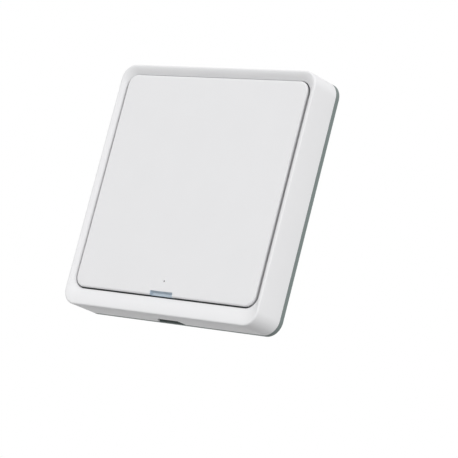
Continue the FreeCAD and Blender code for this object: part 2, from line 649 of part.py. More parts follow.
def window(body, x, z, wide, tall):
    """Rectangular window through the carrier's floor."""
    sketch = new_sketch(body, lift=carrier_front, right=x, up=z)
    draw_rectangle(sketch, wide, tall)
    cut(body, sketch, "Sizes.carrierThick")


def screw_places():
    """Four board screws round the pivot, as pairs of expressions."""
    signs = [(-1, -1), (1, -1), (1, 1), (-1, 1)]
    side = "(Sizes.boardWide / 2 - Sizes.screwInset)"
    return [(f"{a} * {side}", f"{b} * Sizes.screwUp") for a, b in signs]


def make_circuit_board():
    """Board behind the carrier, with clearance holes for its screws."""
    body = new_body("circuit_board")
    middle = f"((Sizes.boardTop + {board_foot}) / 2)"
    tall = f"(Sizes.boardTop - {board_foot})"
    sheet_outline = new_sketch(body, lift=board_rear, up=middle)
    draw_rectangle(sheet_outline, "Sizes.boardWide", tall)
    pad(body, sheet_outline, "Sizes.boardThick")
    holes = new_sketch(body, lift=board_front, up=key_up)
    draw_circles(holes, screw_places(), "(Sizes.screwRadius + Sizes.screwClear)")
    cut(body, holes, "Sizes.boardThick")


def make_rocker_key():
    """Wide key: a shallow shell with two bearings, ribs and a post for each push switch."""
    body = new_body("rocker_key")
    outer = new_sketch(body, lift=key_rear, up=key_up)
    draw_rounded(outer, key_wide, key_tall, key_corner)
    pad(body, outer, f"{key_face} - {key_rear}")
    round_edges(body, "Sizes.keyRound", key_face)
    hollow = new_sketch(body, lift=key_rear, up=key_up)
    inner_wide = f"({key_wide} - 2 * Sizes.keyWall)"
    inner_tall = f"({key_tall} - 2 * Sizes.keyWall)"
    draw_rounded(hollow, inner_wide, inner_tall, f"({key_corner} - Sizes.keyWall)")
    cut(body, hollow, f"{key_inner} - {key_rear}", along_normal=True)
    rib_long = "(Sizes.keyRibFar - Sizes.keyRibNear)"
    ribs = []
    for side in (-1, 1):
        middle = f"{key_up} + {side} * (Sizes.keyRibFar + Sizes.keyRibNear) / 2"
        root = f"{key_inner} - Sizes.keyRibRise"
        rib = new_sketch(body, lift=root, right="Sizes.keyRibSide", up=middle)
        draw_rectangle(rib, "Sizes.keyRibThick", rib_long)
        ribs.append(pad(body, rib, "Sizes.keyRibRise + Sizes.keyShell / 2"))
    bearing = new_sketch(body, "YZ_Plane", lift=f"{boss_spread} - Sizes.bossWide / 2")
    round_wall = "(Sizes.pinRadius + Sizes.pinPlay + Sizes.bossWall)"
    draw_circles(bearing, [(f"-({pin_axis})", key_up)], round_wall)
    ribs.append(pad(body, bearing, "Sizes.bossWide"))
    web = new_sketch(body, "YZ_Plane", lift=f"{boss_spread} - Sizes.bossWide / 2")
    draw_outline(web, [
        (f"-({pin_axis})", f"{key_up} - {round_wall}"),
        (f"-({pin_axis})", f"{key_up} + {round_wall}"),
        (f"-({key_inner} + Sizes.keyShell / 2)", f"{key_up} + {round_wall}"),
        (f"-({key_inner} + Sizes.keyShell / 2)", f"{key_up} - {round_wall}"),
    ])
    ribs.append(pad(body, web, "Sizes.bossWide"))
    mirror(body, ribs)
    for side in (-1, 1):
        lever = f"{key_up} + {side} * Sizes.switchLever"
        post = new_sketch(body, lift=post_tip, up=lever)
        draw_circles(post, [("0", "0")], "Sizes.postRadius")
        pad(body, post, f"{key_inner} + Sizes.keyShell / 2 - {post_tip}")
    reach = f"({boss_spread} + Sizes.bossWide)"
    bore = new_sketch(body, "YZ_Plane", lift=f"-{reach}")
    draw_circles(bore, [(f"-({pin_axis})", key_up)], "(Sizes.pinRadius + Sizes.pinPlay)")
    cut(body, bore, f"2 * {reach}", along_normal=True)
    notch = new_sketch(body, lift=key_face, up=key_foot)
    draw_rectangle(notch, "Sizes.glassWide", "2 * Sizes.glassTall")
    cut(body, notch, f"{key_face} - {key_rear} + Sizes.stopGap")
    pinhole = new_sketch(body, lift=key_face, up=f"{key_foot} + Sizes.pinholeUp")
    draw_circles(pinhole, [("0", "0")], "Sizes.pinholeRadius")
    cut(body, pinhole, "Sizes.keyShell")


def make_indicator_window():
    """Translucent insert in the key's foot, with a flange under the shell."""
    body = new_body("indicator_window")
    wide = "Sizes.glassWide - 2 * Sizes.glassFit"
    foot = f"({key_foot} + Sizes.glassFit)"
    bar_tall = "(Sizes.glassTall - 2 * Sizes.glassFit)"
    rear = f"({key_inner} - Sizes.glassTail)"
    bar = new_sketch(body, lift=rear, up=f"{foot} + {bar_tall} / 2")
    draw_rectangle(bar, wide, bar_tall)
    pad(body, bar, f"{key_face} - Sizes.glassRecess - {rear}")
    flange_tall = f"({bar_tall} + Sizes.glassFlange)"
    flange = new_sketch(body, lift=rear, up=f"{foot} + {flange_tall} / 2")
    draw_rectangle(flange, wide, flange_tall)
    pad(body, flange, "Sizes.glassTail - Sizes.glassFit")


def make_pivot_pin():
    """Steel pin on which the key rocks."""
    body = new_body("pivot_pin")
    sketch = new_sketch(body, "YZ_Plane", lift=f"-{pin_half}")
    draw_circles(sketch, [(f"-({pin_axis})", key_up)], "Sizes.pinRadius")
    rod_feature = pad(body, sketch, f"2 * {pin_half}")
    ends = [f"Edge{i}" for i, edge in enumerate(body.Shape.Edges, 1) if edge.BoundBox.XLength < 1e-6]
    chamfer = body.newObject("PartDesign::Chamfer", "pivot_pin_chamfer")
    chamfer.Base = (rod_feature, ends)
    bind(chamfer, Size="Sizes.pinChamfer")


def make_push_switch(prefix, side):
    """One push switch: base with legs, sheet cover and plunger."""
    up = f"({key_up} + {side} * Sizes.switchLever)"
    body = new_body(f"{prefix}_switch_base")
    base = new_sketch(body, lift=board_front, up=up)
    draw_rectangle(base, "Sizes.switchSide", "Sizes.switchSide")
    pad(body, base, "Sizes.switchRise")
    legs = []
    for row in (-1, 1):
        leg_up = f"{up} + {row} * Sizes.switchSide / 4"
        leg_right = "Sizes.switchSide / 2 + Sizes.legOut / 2"
        leg = new_sketch(body, lift=board_front, right=leg_right, up=leg_up)
        draw_rectangle(leg, "2 * Sizes.legOut", "Sizes.legWide")
        legs.append(pad(body, leg, "Sizes.legSheet"))
    mirror(body, legs)
    well = new_sketch(body, lift=f"{board_front} + Sizes.switchRise", up=up)
    draw_circles(well, [("0", "0")], "Sizes.switchWell")
    cut(body, well, "Sizes.switchRise - Sizes.switchFloor")

    body = new_body(f"{prefix}_switch_cover")
    cover_height = f"({board_front} + Sizes.switchRise)"
    cover = new_sketch(body, lift=cover_height, up=up)
    draw_rectangle(cover, "Sizes.switchSide", "Sizes.switchSide")
    draw_circles(cover, [("0", "0")], "(Sizes.plungerRadius + Sizes.plungerPlay)")
    pad(body, cover, "Sizes.switchSheet")

    body = new_body(f"{prefix}_switch_plunger")
    foot = f"({board_front} + Sizes.switchFloor + Sizes.plungerTravel + Sizes.plungerSpare)"
    disc_top = f"({foot} + Sizes.plungerDisc)"
    spin(body, [
        ("0", foot),
        ("Sizes.plungerFlange", foot),
        ("Sizes.plungerFlange", disc_top),
        ("Sizes.plungerRadius", disc_top),
        ("Sizes.plungerRadius", plunger_top),
        ("0", plunger_top),
    ], z=up)


def make_battery():
    """Coin cell, its holder ring and the two contacts."""
    up = "Sizes.cellUp"
    body = new_body("coin_cell")
    spin(body, [
        ("0", cell_rear),
        ("Sizes.cellRadius", cell_rear),
        ("Sizes.cellRadius", f"{cell_front} - Sizes.cellStep"),
        ("Sizes.cellRadius - Sizes.cellInset + Sizes.cellStep", f"{cell_front} - Sizes.cellStep"),
        ("Sizes.cellRadius - Sizes.cellInset", cell_front),
        ("0", cell_front),
    ], z=up)

    body = new_body("battery_holder")
    inner = "(Sizes.cellRadius + Sizes.holderPlay)"
    outer = f"({inner} + Sizes.holderWall)"
    ring = new_sketch(body, lift=f"{board_rear} - Sizes.holderRise", up=up)
    draw_circles(ring, [("0", "0")], outer)
    draw_circles(ring, [("0", "0")], inner)
    pad(body, ring, "Sizes.holderRise")
    mouth = new_sketch(body, lift=f"{board_rear} - Sizes.holderRise", up=f"{up} + {outer} / 2")
    draw_rectangle(mouth, f"2 * {inner}", outer)
    cut(body, mouth, "Sizes.holderRise", along_normal=True)

    body = new_body("positive_contact")
    strap = new_sketch(body, "XY_Plane", lift=f"{up} - Sizes.strapWide / 2")
    leg = f"({outer} + Sizes.strapThick)"
    foot = f"({leg} + Sizes.strapFoot)"
    right_half = [
        (foot, board_rear),
        (foot, f"{board_rear} - Sizes.strapThick"),
        (leg, f"{board_rear} - Sizes.strapThick"),
        (leg, strap_rear),
    ]
    underside = [(outer, cell_rear), (outer, board_rear)]
    left_half = [(f"-({x})", height) for x, height in reversed(right_half)]
    underside_left = [(f"-({x})", height) for x, height in reversed(underside)]
    loop = right_half + left_half + underside_left + underside
    draw_outline(strap, [(x, f"-({height})") for x, height in loop])
    pad(body, strap, "Sizes.strapWide")

    body = new_body("negative_contact")
    leaf = new_sketch(body, "XY_Plane", lift=f"{up} - Sizes.leafWide / 2")
    sheet_rear = f"({board_rear} - Sizes.leafSheet)"
    crown_front = f"({cell_front} + Sizes.leafSheet)"
    upper = [("Sizes.leafHalf", sheet_rear), ("Sizes.leafHalf - Sizes.leafFoot", sheet_rear),
             ("Sizes.leafCrown", cell_front)]
    lower = [("Sizes.leafCrown - Sizes.leafSheet", crown_front),
             ("Sizes.leafHalf - Sizes.leafFoot - Sizes.leafSheet", board_rear),
             ("Sizes.leafHalf", board_rear)]
    upper_left = [(f"-({x})", height) for x, height in reversed(upper)]
    lower_left = [(f"-({x})", height) for x, height in reversed(lower)]
    loop = upper + upper_left + lower_left + lower
    draw_outline(leaf, [(x, f"-({height})") for x, height in loop])
    pad(body, leaf, "Sizes.leafWide")


def on_board(rise):
    """Height of the base of a block that stands on the back of the board."""
    return f"({board_rear} - {rise})"


def make_sender():
    """Parts soldered to the back of the board, and the signal lamp on its front."""
    down = "-Sizes.partsDown"
    left = "-Sizes.partsSide"
    case = block("chip_case", left, down, on_board("Sizes.chipRise"),
                 "Sizes.chipWide", "Sizes.chipLong", "Sizes.chipRise - Sizes.chipLift")
    pieces = [case]
    for row in range(-3, 4):
        leg_up = f"{down} + {row} * Sizes.chipPitch"
        pieces.append(block("chip_lead", left, leg_up, on_board("Sizes.chipRise / 2"),
                            "Sizes.chipSpan", "Sizes.chipLeg", "Sizes.chipRise / 2"))
    join("encoder_chip", pieces)

    body = new_body("resonator_can")
    can = new_sketch(body, lift=on_board("Sizes.canRise"), right="Sizes.partsSide", up=down)
    draw_slot(can, "Sizes.canLong", "(Sizes.canWide / 2)")
    pad(body, can, "Sizes.canRise - Sizes.canFlange")
    flange = new_sketch(body, lift=on_board("Sizes.canFlange"), right="Sizes.partsSide", up=down)
    draw_slot(flange, "Sizes.canLong + Sizes.canFlange", "(Sizes.canWide + Sizes.canFlange) / 2")
    pad(body, flange, "Sizes.canFlange")

    tiny_up = f"({board_foot} + Sizes.tinyUp)"
    leads = [block("transistor_case", "Sizes.partsSide", tiny_up, on_board("Sizes.tinyRise"),
                   "Sizes.tinyWide", "Sizes.tinyTall", "Sizes.tinyRise - Sizes.tinyLift")]
    for across, along in ((-1, -1), (1, -1), (0, 1)):
        spot = f"Sizes.partsSide + {across} * Sizes.tinyWide / 3"
        lead_up = f"{tiny_up} + {along} * Sizes.tinyReach"
        leads.append(block("transistor_lead", spot, lead_up, on_board("Sizes.tinyRise / 2"),
                           "Sizes.tinyLead", "Sizes.tinyReach", "Sizes.tinyRise / 2"))
    join("rf_transistor", leads)

    lamp_case = block("lamp_case", "0", lamp_up, board_front,
                      "Sizes.lampWide", "Sizes.lampTall", "Sizes.lampRise")
    lens_height = f"{board_front} + Sizes.lampRise"
    lens = rod("lamp_lens", "0", lamp_up, lens_height, "Sizes.lampLens", "Sizes.lampDome")
    join("indicator_led", [lamp_case, lens])

    chips = []
    for x, z in SMALL_PARTS:
        chips.append(block("chip_part", x, z, on_board("Sizes.smallRise"),
                           "Sizes.smallWide", "Sizes.smallLong", "Sizes.smallRise"))
    group("chip_components", chips)


def make_board_screws():
    """Four pan-head screws through the board into the carrier's bosses."""
    screws = []
    for x, z in screw_places():
        up = f"({key_up} + {z})"
        head = rod("screw_head", x, up, on_board("Sizes.screwCap"), "Sizes.screwHead", "Sizes.screwCap")
        shank = rod("screw_shank", x, up, board_rear, "Sizes.screwRadius", "Sizes.screwLong")
        whole = join("screw", [head, shank], keep=False)
        arms = []
        for wide, tall in (("crossWide", "crossLong"), ("crossLong", "crossWide")):
            arms.append(block("cross_arm", x, up, on_board("Sizes.screwCap"),
                              f"Sizes.{wide}", f"Sizes.{tall}", "Sizes.crossDeep"))
        cross = join("cross", arms, keep=False)
        finished = doc.addObject("Part::Cut", "board_screw")
        finished.Base = whole
        finished.Tool = cross
        screws.append(finished)
    group("board_screws", screws)


def make_antenna():
    """Flat wire bent round the board's edge, with a leg at its foot that is soldered down."""
    body = new_body("antenna_wire")
    side = "(Sizes.boardWide / 2 - Sizes.wireInset)"
    top = "(Sizes.boardTop - Sizes.wireInset)"
    foot = f"({board_foot} + Sizes.wireFoot)"
    tall = f"({top} - {foot})"
    middle = f"({foot} + {tall} / 2)"
    height = f"({board_rear} - Sizes.wireLift)"
    loop = new_sketch(body, lift=f"{height} - Sizes.wireThick", up=middle)
    for grow in ("1", "-1"):
        wide = f"(2 * {side} + {grow} * Sizes.wireWide)"
        long = f"({tall} + {grow} * Sizes.wireWide)"
        draw_rounded(loop, wide, long, f"(Sizes.wireBend + {grow} * Sizes.wireWide / 2)")
    pad(body, loop, "Sizes.wireThick")
    gate = new_sketch(body, lift=height, right="Sizes.wireWide", up=foot)
    draw_rectangle(gate, f"2 * {side}", "2 * Sizes.wireShort")
    cut(body, gate, "Sizes.wireThick")
    leg = new_sketch(body, lift=f"{height} - Sizes.wireThick", right=f"-{side}",
                     up=f"{foot} + Sizes.wireBend + Sizes.wireWide / 2")
    draw_rectangle(leg, "Sizes.wireWide", "Sizes.wireWide")
    pad(body, leg, "Sizes.wireLift + Sizes.wireThick")


make_wall_plate()
make_front_frame()
make_carrier()
make_circuit_board()
make_rocker_key()
make_indicator_window()
make_pivot_pin()
make_push_switch("on", 1)
make_push_switch("off", -1)
make_battery()
make_sender()
make_board_screws()
make_antenna()
doc.recompute()

for item in doc.Objects:
    if "Invalid" in item.State or "Error" in item.State:
        raise RuntimeError(f"{item.Name} failed: {item.State}")
for item in SUBPARTS:
    if item.Shape.isNull() or not item.Shape.isValid() or not item.Shape.Solids:
        raise RuntimeError(f"{item.Label} has no valid solid")

os.makedirs("parts", exist_ok=True)
for item in SUBPARTS:
    item.Shape.exportStep(os.path.join("parts", f"{item.Label}.step"))
    box = item.Shape.BoundBox
    print(f"{item.Label:22s} solids {len(item.Shape.Solids)} volume {item.Shape.Volume:9.2f}",
          f"x {box.XMin:7.2f} {box.XMax:7.2f}  y {box.YMin:7.2f} {box.YMax:7.2f}",
          f"z {box.ZMin:7.2f} {box.ZMax:7.2f}")
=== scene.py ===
import json
import math

import bmesh
import bpy
import numpy as np
from mathutils import Matrix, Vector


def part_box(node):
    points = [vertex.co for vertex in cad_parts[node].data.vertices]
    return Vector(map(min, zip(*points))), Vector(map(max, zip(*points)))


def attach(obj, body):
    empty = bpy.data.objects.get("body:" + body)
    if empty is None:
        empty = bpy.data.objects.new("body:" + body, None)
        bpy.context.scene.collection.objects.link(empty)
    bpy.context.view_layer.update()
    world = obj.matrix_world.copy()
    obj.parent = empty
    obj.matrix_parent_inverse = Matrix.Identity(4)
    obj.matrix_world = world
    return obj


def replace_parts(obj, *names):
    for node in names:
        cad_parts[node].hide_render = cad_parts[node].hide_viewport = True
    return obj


# Wireless wall switch. The moulded front, the key and its window, the cell and the board's small
# parts are surfaces worked out here. The other solids keep their form, most with softened edges.
# Sizes are in mm until a piece is built. X is to the right, Y into the wall, Z up, and a height
# h above the wall is at y = -h.

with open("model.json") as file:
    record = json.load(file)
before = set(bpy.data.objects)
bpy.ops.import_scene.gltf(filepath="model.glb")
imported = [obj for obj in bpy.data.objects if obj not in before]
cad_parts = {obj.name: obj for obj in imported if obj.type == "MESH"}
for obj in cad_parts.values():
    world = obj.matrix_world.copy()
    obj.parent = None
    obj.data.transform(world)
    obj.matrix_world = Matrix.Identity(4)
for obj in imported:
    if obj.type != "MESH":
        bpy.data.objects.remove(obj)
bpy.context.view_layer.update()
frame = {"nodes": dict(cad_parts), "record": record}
mm = 0.001
slotOf = {part["node"]: part["material_slot"] for part in frame["record"]["subparts"]}


def boxMm(node):  # low and high corner of a solid, in mm
    low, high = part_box(node)
    return np.array(low) / mm, np.array(high) / mm


def middleOf(node):  # x and z of a solid's middle
    low, high = boxMm(node)
    return (low[0] + high[0]) / 2, (low[2] + high[2]) / 2


coverLow, coverHigh = boxMm("front_frame")
keyLow, keyHigh = boxMm("rocker_key")
pinLow, pinHigh = boxMm("pivot_pin")
boardLow, boardHigh = boxMm("circuit_board")

half = coverHigh[0]  # half the side of plate and cover
crest = -coverLow[1]  # height of the rim's crest
coverRear = -coverHigh[1]
keyFace = -keyLow[1]
# Rear edge of the key's outer wall, read on the right. The key's bearings reach farther.
keyRear = min(-corner.co.y / mm for corner in frame["nodes"]["rocker_key"].data.vertices
              if corner.co.x / mm > keyHigh[0] - 1)
pinAxis = -(pinLow[1] + pinHigh[1]) / 2
pinUp = (pinLow[2] + pinHigh[2]) / 2
boardFront = -boardLow[1]
boardRear = -boardHigh[1]
print("frame loaded: crest", round(crest, 2), "key", round(keyFace, 2), "to", round(keyRear, 2))


# Surfaces on a grid of columns round an outline and rows along a section

# Columns round a rounded rectangle, anticlockwise from the foot: on each straight side at equal
# steps and twice at the ends of each feature, just outside and just inside it, and in each
# corner at equal turns. features holds name: (side, low, high) lists. A flare is
# (side, start, end), a stretch with a column at its start and none up to its end.
def makeColumns(reach, step, turns, features, flare=()):
    tiny = 1e-4
    outside = 1e3  # puts a corner's columns in no feature
    sides, places, probes, angles = [], [], [], []
    for number in range(4):
        marks = list(np.arange(-reach, reach + step / 2, step))
        for spans in features.values():
            for where, low, high in spans:
                if where == number:
                    marks += [low - tiny, low + tiny, high - tiny, high + tiny]
        for where, start, end in flare:
            if where == number:
                marks = [m for m in marks if not start < m < end] + [start]
        marks = np.array(sorted(marks, reverse=number > 1))
        sides += [number] * (len(marks) + turns + 1)
        places += list(np.round(marks, 3)) + [0.0] * (turns + 1)  # both of a pair at one place
        probes += list(marks) + [outside] * (turns + 1)
        angles += [-1.0] * len(marks) + list(np.linspace(0, math.pi / 2, turns + 1))
    columns = {"side": np.array(sides), "place": np.array(places), "angle": np.array(angles)}
    probe = np.array(probes)
    for name, spans in features.items():
        inside = np.zeros(len(probe), bool)
        for where, low, high in spans:
            inside |= (columns["side"] == where) & (probe > low) & (probe < high)
        columns[name] = inside
    return columns


# Point of each column on a rounded rectangle. The box is left, right, foot, top. On a side the
# point is at the column's place, and in a corner at the corner's centre plus the radius times
# (sin, -cos) of the turned angle.
def onOutline(columns, box, corner):
    left, right, foot, top = box
    number = columns["side"]
    level = number % 2 == 0
    place = np.clip(columns["place"], np.where(level, left, foot) + corner,
                    np.where(level, right, top) - corner)
    angle = columns["angle"] + number * math.pi / 2
    cornered = columns["angle"] >= 0
    middleX = np.where(number < 2, right - corner, left + corner)
    middleZ = np.where((number == 1) | (number == 2), top - corner, foot + corner)
    straightX = np.where(level, place, np.where(number == 1, right, left))
    straightZ = np.where(level, np.where(number == 2, top, foot), place)
    x = np.where(cornered, middleX + corner * np.sin(angle), straightX)
    z = np.where(cornered, middleZ - corner * np.cos(angle), straightZ)
    return x, z


# Box with each side moved in by an amount
def inset(box, amount):
    left, right, foot, top = box
    return left + amount, right - amount, foot + amount, top - amount


# Quads of a grid whose columns close into a ring, as its rows may too
def gridFaces(rows, columns, closeRows=True):
    r = np.arange(rows if closeRows else rows - 1)[:, None]
    c = np.arange(columns)[None, :]
    nextR = (r + 1) % rows
    nextC = (c + 1) % columns
    quads = np.stack([r * columns + c, r * columns + nextC, nextR * columns + nextC,
                      nextR * columns + c], axis=-1)
    return quads.reshape(-1, 4)


# Grid from rows, each of which is x, z and height along the columns
def gridPatch(rows, closeRows=True):
    wide = max(np.size(part) for row in rows for part in row)
    points = np.array([np.stack([np.broadcast_to(x, wide), -np.broadcast_to(h, wide),
                                 np.broadcast_to(z, wide)], axis=-1) for x, z, h in rows])
    return points.reshape(-1, 3), gridFaces(len(rows), wide, closeRows)


# Form turned about an axis along Y. Points are radius and height, from axis to axis.
def turned(points, x, z, steps=64):
    angle = np.linspace(0, 2 * math.pi, steps, endpoint=False)
    return gridPatch([(x + r * np.cos(angle), z + r * np.sin(angle), h) for r, h in points],
                     closeRows=False)


# Straight form on a closed outline of two columns of numbers. Along x the outline is height
# and z, along z it is x and height, and along h it is x and z.
def prism(outline, low, high, along):
    a, b = np.array(outline).T
    rows = {"x": [(end, b, a) for end in (low, high)], "z": [(a, end, b) for end in (low, high)],
            "h": [(a, b, end) for end in (low, high)]}[along]
    return gridPatch(rows, closeRows=False)


# Block on a rounded outline. Its sides go straight up from base, in by the draft at both ends,
# and round by a quarter circle into the top. Corner centres stay, and only the radius shrinks.
def block(x, z, wide, tall, base, top, corner, edge, draft=0.0):
    turns = np.linspace(0, math.pi / 2, 4)
    quarter = np.repeat(np.arange(4), len(turns))
    angle = quarter * math.pi / 2 + np.tile(turns, 4)
    centreX = x + np.array([1, -1, -1, 1])[quarter] * (wide / 2 - corner)
    centreZ = z + np.array([1, 1, -1, -1])[quarter] * (tall / 2 - corner)
    way = math.copysign(1, top - base)
    levels = [(draft, base), (0, (base + top) / 2)]
    for turn in turns:
        levels.append((draft + edge * (1 - math.cos(turn)),
                       top - way * edge * (1 - math.sin(turn))))
    rows = []
    for shift, height in levels:
        radius = corner - shift
        rows.append((centreX + radius * np.cos(angle), centreZ + radius * np.sin(angle), height))
    return gridPatch(rows, closeRows=False)


# Flat strip of one width along a line of x and z points. Each side is the line moved by half
# the width along the mean normal at its points, lengthened where the line bends.
def strip(line, wide, base, top):
    line = np.array(line, float)
    step = np.diff(line, axis=0)
    normal = np.stack([-step[:, 1], step[:, 0]], axis=1) / np.hypot(*step.T)[:, None]
    before = np.vstack([normal[:1], normal])
    after = np.vstack([normal, normal[-1:]])
    mean = before + after
    shift = mean * wide / np.sum(mean ** 2, axis=1, keepdims=True)
    return prism(np.vstack([line + shift, (line - shift)[::-1]]), base, top, "h")


# Join patches of points and faces into one piece, merge what coincides, close the ends of open
# patches and turn faces outwards
def buildPiece(name, patches, body, finish, sharp=35):
    same = 2e-7  # points nearer than this many metres are one
    points, faces, count = [], [], 0
    for vertices, quads in patches:
        points.append(vertices * mm)
        faces += (quads + count).tolist()
        count += len(vertices)
    mesh = bpy.data.meshes.new(name)
    mesh.from_pydata(np.concatenate(points).tolist(), [], faces)
    shaped = bmesh.new()
    shaped.from_mesh(mesh)
    bmesh.ops.remove_doubles(shaped, verts=shaped.verts, dist=same)
    bmesh.ops.dissolve_degenerate(shaped, edges=shaped.edges, dist=same / 2)
    bmesh.ops.holes_fill(shaped, edges=[e for e in shaped.edges if e.is_boundary], sides=0)
    bmesh.ops.recalc_face_normals(shaped, faces=shaped.faces)
    shaped.to_mesh(mesh)
    shaped.free()
    mesh.materials.append(finish)
    return finishPiece(name, mesh, body, sharp)


# Object for a mesh that is smooth except over edges that turn by more than sharp degrees
def finishPiece(name, mesh, body, sharp):
    mesh.shade_smooth()
    mesh.set_sharp_from_angle(angle=math.radians(sharp))
    piece = bpy.data.objects.new(name, mesh)
    bpy.context.scene.collection.objects.link(piece)
    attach(piece, body)
    return piece


# Finishes

# Material with its node tree, its shader and places measured on the object
def newMaterial(name):
    material = bpy.data.materials.new(name)
    material.use_nodes = True
    nodes = material.node_tree.nodes
    place = nodes.new("ShaderNodeTexCoord")
    return material, material.node_tree, nodes["Principled BSDF"], place.outputs["Object"]


# Noise whose grains are about size mm across
def noise(tree, place, size, detail=2.0, stretch=None):
    texture = tree.nodes.new("ShaderNodeTexNoise")
    texture.inputs["Scale"].default_value = 1 / (size * mm)
    texture.inputs["Detail"].default_value = detail
    if stretch:
        mapping = tree.nodes.new("ShaderNodeMapping")
        mapping.inputs["Scale"].default_value = stretch
        tree.links.new(place, mapping.inputs["Vector"])
        place = mapping.outputs["Vector"]
    tree.links.new(place, texture.inputs["Vector"])
    return texture.outputs["Fac"]


# Range from low to high, led by noise, most of which lies between 0.3 and 0.7
def ranged(tree, source, low, high):
    change = tree.nodes.new("ShaderNodeMapRange")
    change.inputs["From Min"].default_value = 0.3
    change.inputs["From Max"].default_value = 0.7
    change.inputs["To Min"].default_value = low
    change.inputs["To Max"].default_value = high
    tree.links.new(source, change.inputs["Value"])
    return change.outputs["Result"]


# Colour between two tints, chosen by noise
def tint(tree, source, dark, light):
    mix = tree.nodes.new("ShaderNodeMix")
    mix.data_type = "RGBA"
    tree.links.new(ranged(tree, source, 0, 1), mix.inputs["Factor"])
    mix.inputs["A"].default_value = (*dark, 1)
    mix.inputs["B"].default_value = (*light, 1)
    return mix.outputs["Result"]


# Relief of a depth in mm, led by noise or waves
def addBump(tree, shader, source, depth):
    bump = tree.nodes.new("ShaderNodeBump")
    bump.inputs["Distance"].default_value = depth * mm
    bump.inputs["Strength"].default_value = 1.0
    tree.links.new(source, bump.inputs["Height"])
    tree.links.new(bump.outputs["Normal"], shader.inputs["Normal"])


# Moulded plastic: faint mottling, a fine spark-eroded grain and a soft gloss
def mouldedPlastic(name, colour, rough=0.42, grain=0.22, depth=0.004, mottle=0.006, gloss=0.35):
    material, tree, shader, place = newMaterial(name)
    base = np.array(colour)
    cloudy = noise(tree, place, size=14.0)
    tree.links.new(tint(tree, cloudy, base * (1 - mottle), np.minimum(base * (1 + mottle), 1)),
                   shader.inputs["Base Color"])
    fine = noise(tree, place, size=grain, detail=3.0)
    tree.links.new(ranged(tree, fine, rough - 0.05, rough + 0.05), shader.inputs["Roughness"])
    shader.inputs["Specular IOR Level"].default_value = gloss
    addBump(tree, shader, fine, depth)
    return material


# Sheet or turned metal with fine lines along one way
def rolledMetal(name, colour, rough=0.28, stretch=(1, 1, 12), depth=0.003):
    material, tree, shader, place = newMaterial(name)
    base = np.array(colour)
    lines = noise(tree, place, size=0.5, detail=4.0, stretch=stretch)
    tree.links.new(tint(tree, lines, base * 0.9, np.minimum(base * 1.05, 1)),
                   shader.inputs["Base Color"])
    tree.links.new(ranged(tree, lines, rough - 0.06, rough + 0.08), shader.inputs["Roughness"])
    shader.inputs["Metallic"].default_value = 1.0
    addBump(tree, shader, lines, depth)
    return material


# Green lacquer over woven glass: the weave shows as a faint square ripple
def solderMask(name, colour, weave=1.1):
    material, tree, shader, place = newMaterial(name)
    base = np.array(colour)
    cloudy = noise(tree, place, size=4.0)
    tree.links.new(tint(tree, cloudy, base * 0.88, base * 1.15), shader.inputs["Base Color"])
    both = tree.nodes.new("ShaderNodeMath")
    both.operation = "MULTIPLY"
    for number, direction in enumerate("XZ"):
        wave = tree.nodes.new("ShaderNodeTexWave")
        wave.bands_direction = direction
        period = math.pi / 10  # of the wave at a scale of 1
        wave.inputs["Scale"].default_value = period / (weave * mm)
        tree.links.new(place, wave.inputs["Vector"])
        tree.links.new(wave.outputs["Fac"], both.inputs[number])
    shader.inputs["Roughness"].default_value = 0.3
    shader.inputs["Coat Weight"].default_value = 0.4
    addBump(tree, shader, both.outputs["Value"], depth=0.006)
    return material


# Tinted plastic that lets some light through
def clearInsert(name, colour, through=0.25):
    material, tree, shader, place = newMaterial(name)
    base = np.array(colour)
    cloudy = noise(tree, place, size=3.0)
    tree.links.new(tint(tree, cloudy, base * 0.96, np.minimum(base * 1.04, 1)),
                   shader.inputs["Base Color"])
    shader.inputs["Roughness"].default_value = 0.3
    shader.inputs["Transmission Weight"].default_value = through
    shader.inputs["IOR"].default_value = 1.49
    addBump(tree, shader, noise(tree, place, size=0.6), depth=0.002)
    return material


finishes = {
    "white_plastic": mouldedPlastic("whitePlastic", (0.83, 0.83, 0.84)),
    "plate_plastic": mouldedPlastic("platePlastic", (0.205, 0.24, 0.234), rough=0.55, grain=0.35,
                                    depth=0.012, mottle=0.03, gloss=0.2),
    "carrier_plastic": mouldedPlastic("carrierPlastic", (0.2, 0.22, 0.22), rough=0.5, grain=0.3,
                                      depth=0.006),
    "board_green": solderMask("boardGreen", (0.02, 0.13, 0.05)),
    "signal_window": clearInsert("signalWindow", (0.51, 0.605, 0.69), through=0.12),
    "pin_steel": rolledMetal("groundSteel", (0.6, 0.6, 0.61), rough=0.22, stretch=(12, 1, 1)),
    "switch_black": mouldedPlastic("switchBlack", (0.02, 0.02, 0.02), rough=0.45),
    "sheet_steel": rolledMetal("pressedSheet", (0.6, 0.6, 0.6), rough=0.3),
    "plunger_plastic": mouldedPlastic("plungerPlastic", (0.7, 0.66, 0.55), rough=0.4),
    "cell_steel": rolledMetal("cellSteel", (0.64, 0.64, 0.65), rough=0.2),
    "holder_black": mouldedPlastic("holderBlack", (0.03, 0.03, 0.032), rough=0.5),
    "contact_nickel": rolledMetal("contactNickel", (0.66, 0.62, 0.55), rough=0.22,
                                  stretch=(12, 1, 1)),
    "chip_black": mouldedPlastic("chipEpoxy", (0.018, 0.018, 0.02), rough=0.55, grain=0.12,
                                 depth=0.008),
    "can_steel": rolledMetal("drawnCan", (0.62, 0.62, 0.63), rough=0.25),
    "lamp_plastic": clearInsert("lampPlastic", (0.85, 0.83, 0.74), through=0.3),
    "chip_ceramic": mouldedPlastic("sinteredBrown", (0.16, 0.09, 0.05), rough=0.5, grain=0.1),
    "screw_steel": rolledMetal("zincPlate", (0.56, 0.57, 0.6), rough=0.25),
    "wire_copper": rolledMetal("tinnedCopper", (0.72, 0.42, 0.28), rough=0.25),
}
